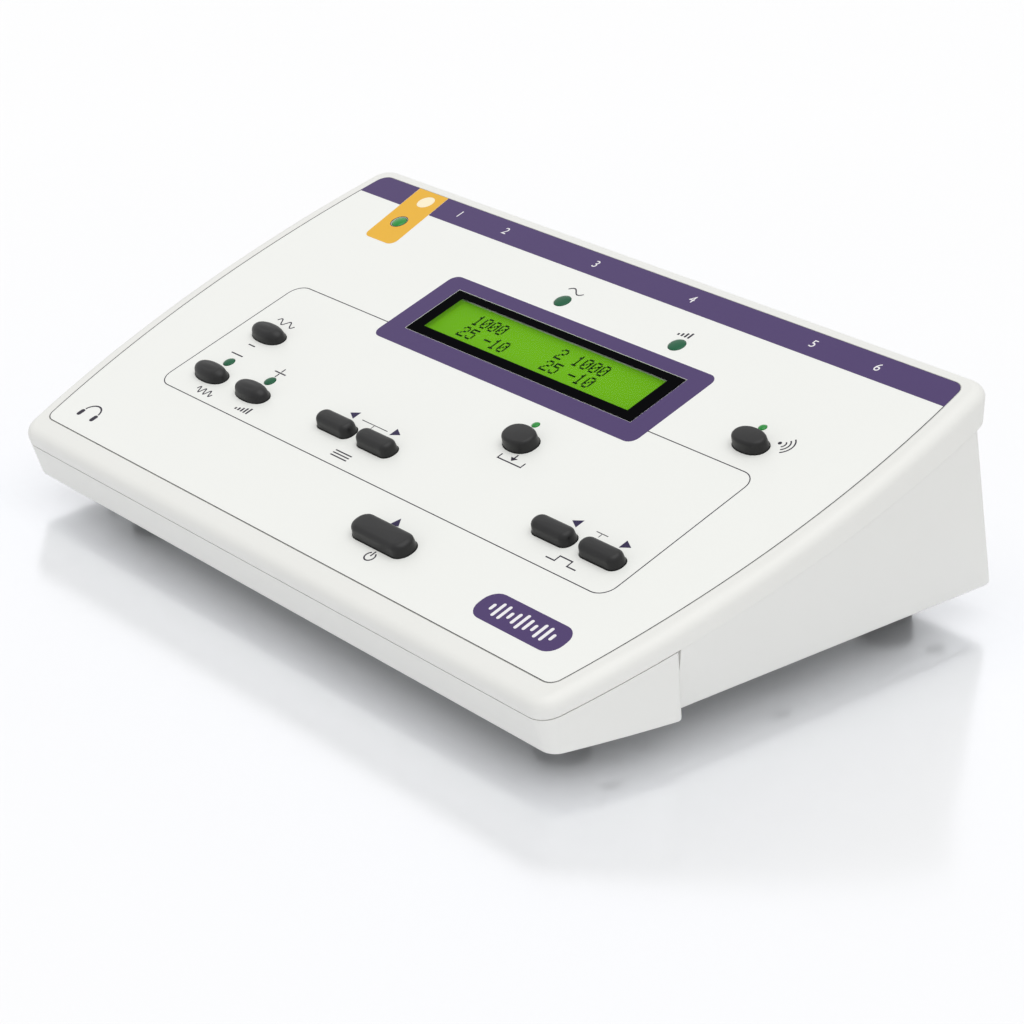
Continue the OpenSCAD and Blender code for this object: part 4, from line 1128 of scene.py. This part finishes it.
def teeth_tree(material):
    """A tree that puts a ring of teeth, whose axis runs up the slope, on every point of a mesh."""
    tree, given = point_tree("teeth_on_points", {
        "Ring radius": "Float", "Tooth count": "Int", "Tooth size": "Vector"})
    rim = tree.node("GeometryNodeMeshCircle", sockets={
        "Vertices": given["Tooth count"], "Radius": given["Ring radius"]})
    outward = tree.node("FunctionNodeAlignRotationToVector", {"axis": "X"},
                        {"Vector": tree.node("GeometryNodeInputPosition")})
    tooth = tree.node("GeometryNodeMeshCube", sockets={"Size": given["Tooth size"]})
    ring = tree.node("GeometryNodeInstanceOnPoints",
                     sockets={"Points": rim, "Instance": tooth, "Rotation": outward})
    upright = tree.node("GeometryNodeTransform",
                        sockets={"Geometry": ring, "Rotation": (math.pi / 2, 0, 0)})
    return on_points(tree, given["Geometry"], upright, material)


nuts = {}
for low, high in loose_parts("socket_nuts"):
    middle = (low + high) / 2
    nuts.setdefault(round((high.x - low.x) / 2, 1), []).append((middle, high.y - low.y))
for radius, found in nuts.items():
    teeth = {"Ring radius": radius - TOOTH_INSET, "Tooth count": round(TEETH_PER_MM * radius),
             "Tooth size": (TOOTH_OUT, TOOTH_WIDE, TOOTH_SHARE * found[0][1])}
    grown("nut_teeth_%d" % round(10 * radius), [middle for middle, _ in found],
          teeth_tree(STEEL), teeth, PANEL, "plated_metal", STEEL)

heads = [((low.x + high.x) / 2, (low.y + high.y) / 2, low.z)
         for low, high in loose_parts("case_screws", axes=FRAME_MM.inverted())]
# Painted shade: each cross is two thin black blocks on the screw head, where its recess would be
# dark.
for name, arm in (("screw_recess_shade_across", (RECESS_LONG, RECESS_WIDE, RECESS_DEEP)),
                  ("screw_recess_shade_along", (RECESS_WIDE, RECESS_LONG, RECESS_DEEP))):
    grown(name, heads, blocks_tree(BLACK_PLASTIC_AND_RECESS_SHADE), {"Block size": arm}, FRAME_MM,
          "plated_metal", BLACK_PLASTIC_AND_RECESS_SHADE)
print("nuts:", {radius: len(found) for radius, found in nuts.items()}, "screws:", len(heads))


def sole_round(edge):
    """Rounds the edge of a foot's sole."""
    return SOLE_SHARE if meets_underside(edge) else 0


moulded_copy("foot_pads", "rubber_feet", sole_round, RUBBER, "black_rubber")

# %% [markdown]
# ## What carries over from the frame
#
# The sockets, boards, chips, ribbons, plungers and screws have the right shape already, so
# their CAD nodes stay and only get a finish.

# %% Finishes for the CAD nodes
DRESSED = {
    WINDOW_CLEAR: ["display_window"],
    DISPLAY_GREEN: ["display_glass"],
    BACKLIGHT: ["display_backlight", "light_chips"],
    BLACK_PLASTIC_AND_RECESS_SHADE: ["display_frame", "switch_housings", "upper_ribbon_plugs", "rear_ribbon_plugs",
                    *SOCKET_NODES],
    BOARD_GREEN: ["display_board", "button_board", "main_board", "socket_board"],
    CHIP_BLACK: ["main_chips"],
    SLEEVE_BLUE: ["filter_capacitors"],
    RIBBON_GREY: ["upper_ribbon", "rear_ribbon"],
    STEEL: ["power_inlet_pin", "socket_nuts"],
    DARK_STEEL: ["case_screws", "button_board_screws", "display_screws", "main_board_screws"],
    PALE_INK: [key + "_plunger" for key in FORMS],
}
for material, names in DRESSED.items():
    for name in names:
        materials = frame["nodes"][name].data.materials
        materials.clear()
        materials.append(material)
